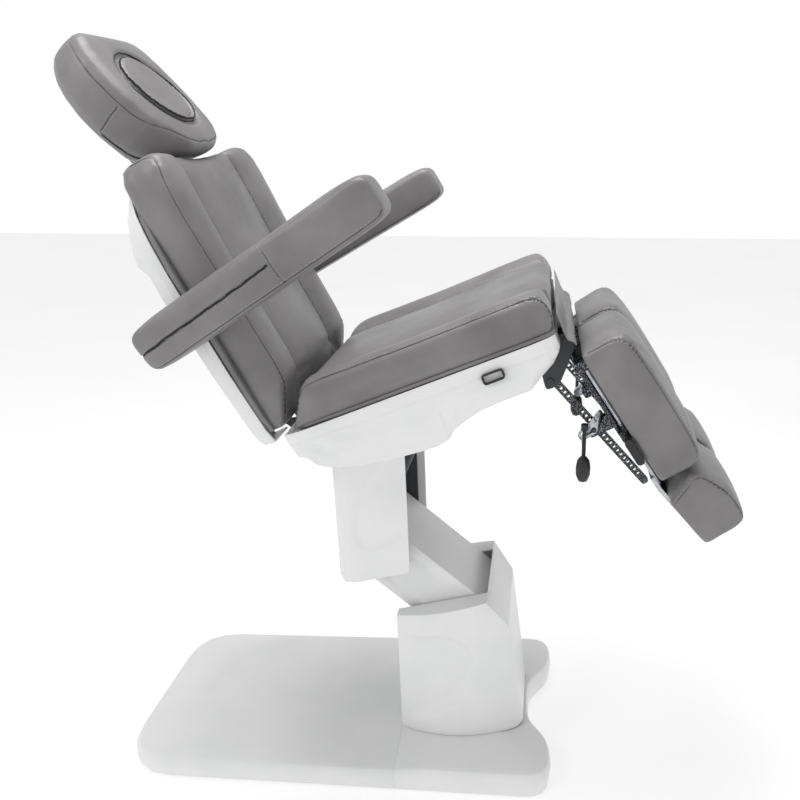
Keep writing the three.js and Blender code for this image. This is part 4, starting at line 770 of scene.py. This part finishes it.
def mark_bracket(bm):
    """The sweep that runs down each side of the bracket's cover and forward under it."""
    gridded(bm, WORLD, (-404, 540), (-270, 800))
    outline = ((-290, 830), (-336, 745), (-384, 680), (-399, 636), (-402, 591), (-383, 549), (-337, 556), (-284, 592),
               (-240, 640), (-240, 800))
    sunk(bm, WORLD, outline, reach=120, band=11, depth=3.2, fade=(-250, -300))


def mark_seat_shell(bm):
    """The long hollow under the rim on each side, and the oval dimple near the rear."""
    gridded(bm, SEAT, (-92, -72), (432, 52))
    hollow = ((-60, 49), (60, 49.5), (200, 49.5), (340, 49.5), (422, 48), (428, 30), (400, 6), (370, -3), (300, 2),
              (220, 6), (140, 6), (40, 12), (-30, 30))
    dimple = ((-72, 40), (-52, 42), (-34, 26), (-26, 2), (-34, -18), (-50, -8), (-66, 16))
    sunk(bm, SEAT, hollow, reach=200, band=7, depth=3, fade=(-60, 60))
    sunk(bm, SEAT, dimple, reach=200, band=11, depth=3.2, fade=(-80, -70))


MARKS = {"column_cover": mark_column, "bracket_cover": mark_bracket, "seat_shell": mark_seat_shell}


def moulded_copy(node, body):
    """A cover in the place of its CAD solid, with its marks sunk in and its edges rounded."""
    bm = cad_copy(node)
    bmesh.ops.dissolve_limit(bm, angle_limit=math.radians(1.5), verts=bm.verts, edges=bm.edges)
    if node in MARKS:
        MARKS[node](bm)
    made = object_from(bm, node + "_moulded")
    bevelled(made, width=1.5, segments=2, sharp=34, turn=34)
    paint(made, finish_named("white_abs_moulded"))
    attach(made, body)
    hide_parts(node)


def make_hook():
    """The hook for the hand control: an open rounded frame on the seat's shell."""
    centre_x, centre_z, wall = 305, 40, 3.2
    half_width, half_height, corner = 15, 4, 6  # from the centre to the rounded corners' centres, and their radius
    low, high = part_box("handset_hook")
    inner_end = high.y + wall * MM
    bm = bmesh.new()
    loops = []
    for depth, inset in ((low.y, 0), (low.y, wall), (inner_end, wall), (inner_end, 0)):
        loop = []
        for quarter, (right, up) in enumerate(((1, 1), (-1, 1), (-1, -1), (1, -1))):
            for step in range(5):
                angle = math.radians((quarter + step / 4) * 90)
                across = right * half_width + (corner - inset) * math.cos(angle)
                above = up * half_height + (corner - inset) * math.sin(angle)
                spot = SEAT @ (Vector((centre_x + across, 0, centre_z + above)) * MM)
                loop.append(bm.verts.new((spot.x, depth, spot.z)))
        loops.append(loop)
    walled(bm, loops, closed=True)
    made = object_from(bm, "handset_hook_moulded")
    bevelled(made, width=0.9, segments=3, sharp=50)
    paint(made, finish_named("black_nylon_moulded"))
    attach(made, "seat")
    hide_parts("handset_hook")


def make_levers():
    """Each leg lever in two pieces: the bare steel plate with its cross rod, and the black grips."""
    grip_start = 51.3  # from the middle of the leg to the grips
    for side, sign in SIDES:
        for part, finish in (("steel", "chromed_steel_drawn"), ("grips", "black_nylon_moulded")):
            bm = cad_copy("leg_lever_" + side)
            whole = [*bm.verts, *bm.edges, *bm.faces]
            cut = bmesh.ops.bisect_plane(
                bm, geom=whole, plane_co=LEG[side] @ (Vector((0, sign * grip_start, 0)) * MM),
                plane_no=(0, sign, 0), clear_outer=part == "steel", clear_inner=part == "grips")
            rim = [item for item in cut["geom_cut"] if isinstance(item, bmesh.types.BMEdge)]
            bmesh.ops.holes_fill(bm, edges=rim)
            made = object_from(bm, f"leg_lever_{side}_{part}")
            made.data.set_sharp_from_angle(angle=math.radians(40))
            paint(made, finish_named(finish))
            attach(made, "leg_lever_" + side)
            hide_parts("leg_lever_" + side)


# ---------------------------------------------------------------- pads
def board_edge(name, matrix, body, rows, heights, upright=False):
    """The cover where it is pulled tight round the board: a plate through rows of (along, half width) with
    its two faces at the heights. along runs forward on the seat, or up an upright back."""
    bm = bmesh.new()
    rings = []
    for height in heights:
        ring = []
        for sign, half_rows in ((1, rows), (-1, rows[::-1])):
            for along, half in half_rows:
                spot = (height, sign * half, along) if upright else (along, sign * half, height)
                ring.append(bm.verts.new(matrix @ (Vector(spot) * MM)))
        rings.append(ring)
    bm.faces.new(rings[0])
    bm.faces.new(rings[1][::-1])
    walled(bm, rings, closed=False)
    made = object_from(bm, name)
    bevelled(made, width=3, segments=3, sharp=50)
    paint(made, finish_named("synthetic_leather"))
    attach(made, body)


def make_seat():
    rows = [(-94, 238), (-60, 254), (0, 258), (390, 258), (420, 255), (436, 244)]
    board_edge("seat_cushion_edge", SEAT, "seat", rows, (69.5, 77))
    sew_pad("seat_cushion", SEAT, "seat", seat_seams(), voxel=8, shrink=1.5, cap=3, rest=(0, 0, -1), seed=1)


def make_back():
    rows = [(26, 234), (60, 243), (130, 246), (370, 246), (425, 240), (465, 232), (498, 218), (526, 196)]
    board_edge("back_cushion_edge", BACK, "back", rows, (-23.5, -13), upright=True)
    sew_pad("back_cushion", BACK, "back", back_seams(), voxel=8, shrink=1.5, cap=3, rest=(-1, 0, 0), seed=2)


def make_headrest():
    for node, seams, voxel, shrink, cap, seed in (
        ("headrest_pad", headrest_seams(), 5, 1, 2.5, 3), ("headrest_panel", [oval_seam(85, 79, 125)], 4, 0, 1.5, 4),
    ):
        sew_pad(node, HEAD, "headrest", seams, voxel, shrink, cap, rest=(-1, 0, 0), seed=seed)


def make_armrests():
    for side, sign in SIDES:
        name = "armrest_" + side
        sew_pad(name, ARM[side], name, armrest_seams(sign), voxel=5, shrink=1, cap=2.5,
                rest=(0, -sign, 0), seed=5)


def make_leg_pads():
    for limb, seams, seed in (("leg", leg_seams(), 6), ("foot", foot_seams(), 7)):
        for side, _ in SIDES:
            sew_pad(f"{limb}_pad_{side}", LEG[side], f"{limb}_{side}", seams, voxel=6, shrink=1, cap=2.5,
                    rest=(0, 0, -1), seed=seed)


def make_apron():
    """The vinyl flap that hangs over the gap in front of the seat: a grid bent along its fall, with small
    waves towards its lower edge."""
    width, thick, wave_height, wave_length, unevenness = 452, 1.6, 0.7, 119.38, 0.5
    fall = [(447.9, 100), (447.9, 86), (447.9, 72), (448.2, 56), (449.6, 44.6), (453, 42.4), (457, 39.2),
            (459.8, 34.6), (461, 28.2)]
    spans = len(fall) - 1
    bm = bmesh.new()
    bmesh.ops.create_grid(bm, x_segments=60, y_segments=spans, size=0.5)
    for vert in bm.verts:
        down = (vert.co.y + 0.5) * spans
        low = min(int(down), spans - 1)
        along, up = Vector(fall[low]).lerp(Vector(fall[low + 1]), down - low)
        across = vert.co.x * width
        along += wave_height * math.sin(2 * math.pi * across / wave_length) * down / len(fall)
        along += unevenness * noise.noise(Vector((across / 40, down, 3)))
        vert.co = SEAT @ (Vector((along, across, up)) * MM)
    bmesh.ops.recalc_face_normals(bm, faces=bm.faces)
    made = object_from(bm, "front_apron_flap")
    wall = made.modifiers.new("Solidify", "SOLIDIFY")
    wall.thickness, wall.offset = thick * MM, 0
    settle(made)
    subdivided(made)
    paint(made, finish_named("synthetic_leather"))
    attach(made, "seat")
    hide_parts("front_apron")


def light_stage():
    """White light from the horizon and the floor, a darker sky, and three soft lamps above the chair."""
    world = bpy.data.worlds.new("studio")
    world.use_nodes = True
    sky = world.node_tree
    way = add(sky, "ShaderNodeTexCoord").outputs["Generated"]
    height = add(sky, "ShaderNodeSeparateXYZ", links={"Vector": way}).outputs["Z"]
    glow = add(sky, "ShaderNodeValToRGB", links={"Fac": height},
               stops=[(0.0, linear("ffffff")), (0.14, linear("ffffff")), (0.24, linear("bcbcbc"))])
    sky.links.new(glow.outputs["Color"], sky.nodes["Background"].inputs["Color"])
    bpy.context.scene.world = world
    bpy.context.scene.view_settings.view_transform = "Standard"
    for name, place, size, power in (
        ("key", (-2.2, -1.9, 3.4), 1.4, 26), ("fill", (2.8, -2.2, 1.4), 2.4, 3), ("top", (-0.3, 0.3, 3.6), 2.0, 62),
    ):
        lamp = bpy.data.lights.new(name, "AREA")
        lamp.shape, lamp.size, lamp.energy = "DISK", size, power
        shown = new_object(name, lamp)
        shown.location = place
        shown.rotation_euler = (Vector((0, 0, 0.7)) - Vector(place)).to_track_quat("-Z", "Y").to_euler()


def make_floor():
    """A pale floor that glows a little, as a lit table does under a cut-out photograph."""
    bm = bmesh.new()
    bmesh.ops.create_grid(bm, x_segments=1, y_segments=1, size=9)
    floor = object_from(bm, "studio_floor")
    material, tree, place = blank("studio_paper")
    tone = add(tree, "ShaderNodeTexNoise", values={"Scale": every(667)}, links={"Vector": place})
    colour = add(tree, "ShaderNodeValToRGB", links={"Fac": tone.outputs["Fac"]},
                 stops=[(0.3, linear("aeaeae")), (0.7, linear("b4b4b4"))])
    shaded(tree, {"Roughness": 0.95, "Emission Color": (1, 1, 1, 1), "Emission Strength": 0.64},
           {"Base Color": colour.outputs["Color"]})
    paint(floor, material)


def make_camera():
    """The photograph's camera: its lens and place follow from the straight edges of base, column and seat."""
    picture, focal, off_centre, tilt, turn = 800, 775, -100, 19.5, 3.3  # pixels and degrees
    camera = bpy.data.cameras.new("camera")
    camera.sensor_fit, camera.sensor_width = "HORIZONTAL", 36.0
    camera.lens = focal / picture * camera.sensor_width
    camera.shift_x = off_centre / picture
    held = new_object("camera", camera)
    held.location = (CENTRE_SHIFT * MM, -1.582, 1.417)
    held.rotation_euler = (math.radians(90 - tilt), 0, math.radians(turn))
    bpy.context.scene.camera = held


# ---------------------------------------------------------------- add-on classes
class ChairSettings(bpy.types.PropertyGroup):
    stitch_length: bpy.props.FloatProperty(
        name="Stitch Length", description="Length of one drawn stitch", default=5 * MM, unit="LENGTH")
    stitch_pitch: bpy.props.FloatProperty(
        name="Stitch Pitch", description="Distance from stitch to stitch", default=7.5 * MM, unit="LENGTH")
    thread: bpy.props.FloatProperty(
        name="Thread", description="Thickness of the drawn thread", default=1.1 * MM, unit="LENGTH")
    cover_shade: bpy.props.FloatVectorProperty(
        name="Cover", description="Colour of the synthetic leather", default=linear("7a7879"), subtype="COLOR")
    shell_shade: bpy.props.FloatVectorProperty(
        name="Shells", description="Colour of the moulded covers", default=linear("ebebeb"), subtype="COLOR")
    frame_shade: bpy.props.FloatVectorProperty(
        name="Frame", description="Colour of the powder-coated frame", default=linear("2c2e31"), subtype="COLOR")


class CHAIR_OT_stage(bpy.types.Operator):
    """Adds the pale floor, the soft lights and the camera"""

    bl_idname = "chair.stage"
    bl_label = "Set Stage"

    def execute(self, context):
        make_floor()
        light_stage()
        make_camera()
        return {"FINISHED"}


class CHAIR_OT_bare_parts(bpy.types.Operator):
    """Gives the frame parts that stay on show their finishes"""

    bl_idname = "chair.bare_parts"
    bl_label = "Finish Frame Parts"

    def execute(self, context):
        for finish, names in BARE_PARTS.items():
            for name in names:
                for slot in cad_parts[name].material_slots:
                    slot.link = "OBJECT"
                    slot.material = finish_named(finish)
        return {"FINISHED"}


class CHAIR_OT_covers(bpy.types.Operator):
    """Makes the white moulded covers"""

    bl_idname = "chair.covers"
    bl_label = "Make Covers"

    def execute(self, context):
        for node, body in COVERS.items():
            moulded_copy(node, body)
        return {"FINISHED"}


class CHAIR_OT_levers(bpy.types.Operator):
    """Makes the release levers under the leg rests"""

    bl_idname = "chair.levers"
    bl_label = "Make Levers"

    def execute(self, context):
        make_levers()
        return {"FINISHED"}


class CHAIR_OT_hook(bpy.types.Operator):
    """Makes the hook for the hand control"""

    bl_idname = "chair.hook"
    bl_label = "Make Hook"

    def execute(self, context):
        make_hook()
        return {"FINISHED"}


class CHAIR_OT_seat(bpy.types.Operator):
    """Makes the seat cushion"""

    bl_idname = "chair.seat"
    bl_label = "Make Seat"

    def execute(self, context):
        make_seat()
        return {"FINISHED"}


class CHAIR_OT_apron(bpy.types.Operator):
    """Makes the flap that hangs in front of the seat"""

    bl_idname = "chair.apron"
    bl_label = "Make Apron"

    def execute(self, context):
        make_apron()
        return {"FINISHED"}


class CHAIR_OT_back(bpy.types.Operator):
    """Makes the back cushion"""

    bl_idname = "chair.back"
    bl_label = "Make Back"

    def execute(self, context):
        make_back()
        return {"FINISHED"}


class CHAIR_OT_headrest(bpy.types.Operator):
    """Makes the headrest ring and its oval panel"""

    bl_idname = "chair.headrest"
    bl_label = "Make Headrest"

    def execute(self, context):
        make_headrest()
        return {"FINISHED"}


class CHAIR_OT_armrests(bpy.types.Operator):
    """Makes both armrests"""

    bl_idname = "chair.armrests"
    bl_label = "Make Armrests"

    def execute(self, context):
        make_armrests()
        return {"FINISHED"}


class CHAIR_OT_leg_rests(bpy.types.Operator):
    """Makes the leg pads and the foot pads"""

    bl_idname = "chair.leg_rests"
    bl_label = "Make Leg Rests"

    def execute(self, context):
        make_leg_pads()
        return {"FINISHED"}


STEPS = (
    CHAIR_OT_stage, CHAIR_OT_bare_parts, CHAIR_OT_covers, CHAIR_OT_levers, CHAIR_OT_hook, CHAIR_OT_seat,
    CHAIR_OT_apron, CHAIR_OT_back, CHAIR_OT_headrest, CHAIR_OT_armrests, CHAIR_OT_leg_rests,
)


class CHAIR_PT_panel(bpy.types.Panel):
    """Lists the chair's settings and making steps"""

    bl_idname = "CHAIR_PT_panel"
    bl_label = "Podiatry Chair"
    bl_space_type = "VIEW_3D"
    bl_region_type = "UI"
    bl_category = "Chair"

    def draw(self, context):
        column = self.layout.column()
        for name in ChairSettings.__annotations__:
            column.prop(context.scene.chair_settings, name)
        for step in STEPS:
            column.operator(step.bl_idname)


CLASSES = (ChairSettings, *STEPS, CHAIR_PT_panel)


def register():
    for item in CLASSES:
        bpy.utils.register_class(item)
    bpy.types.Scene.chair_settings = bpy.props.PointerProperty(type=ChairSettings)


def unregister():
    del bpy.types.Scene.chair_settings
    for item in reversed(CLASSES):
        bpy.utils.unregister_class(item)


def main():
    register()
    for step in STEPS:
        group, name = step.bl_idname.split(".")
        getattr(getattr(bpy.ops, group), name)()
    bpy.context.view_layer.update()


if __name__ == "__main__":
    main()
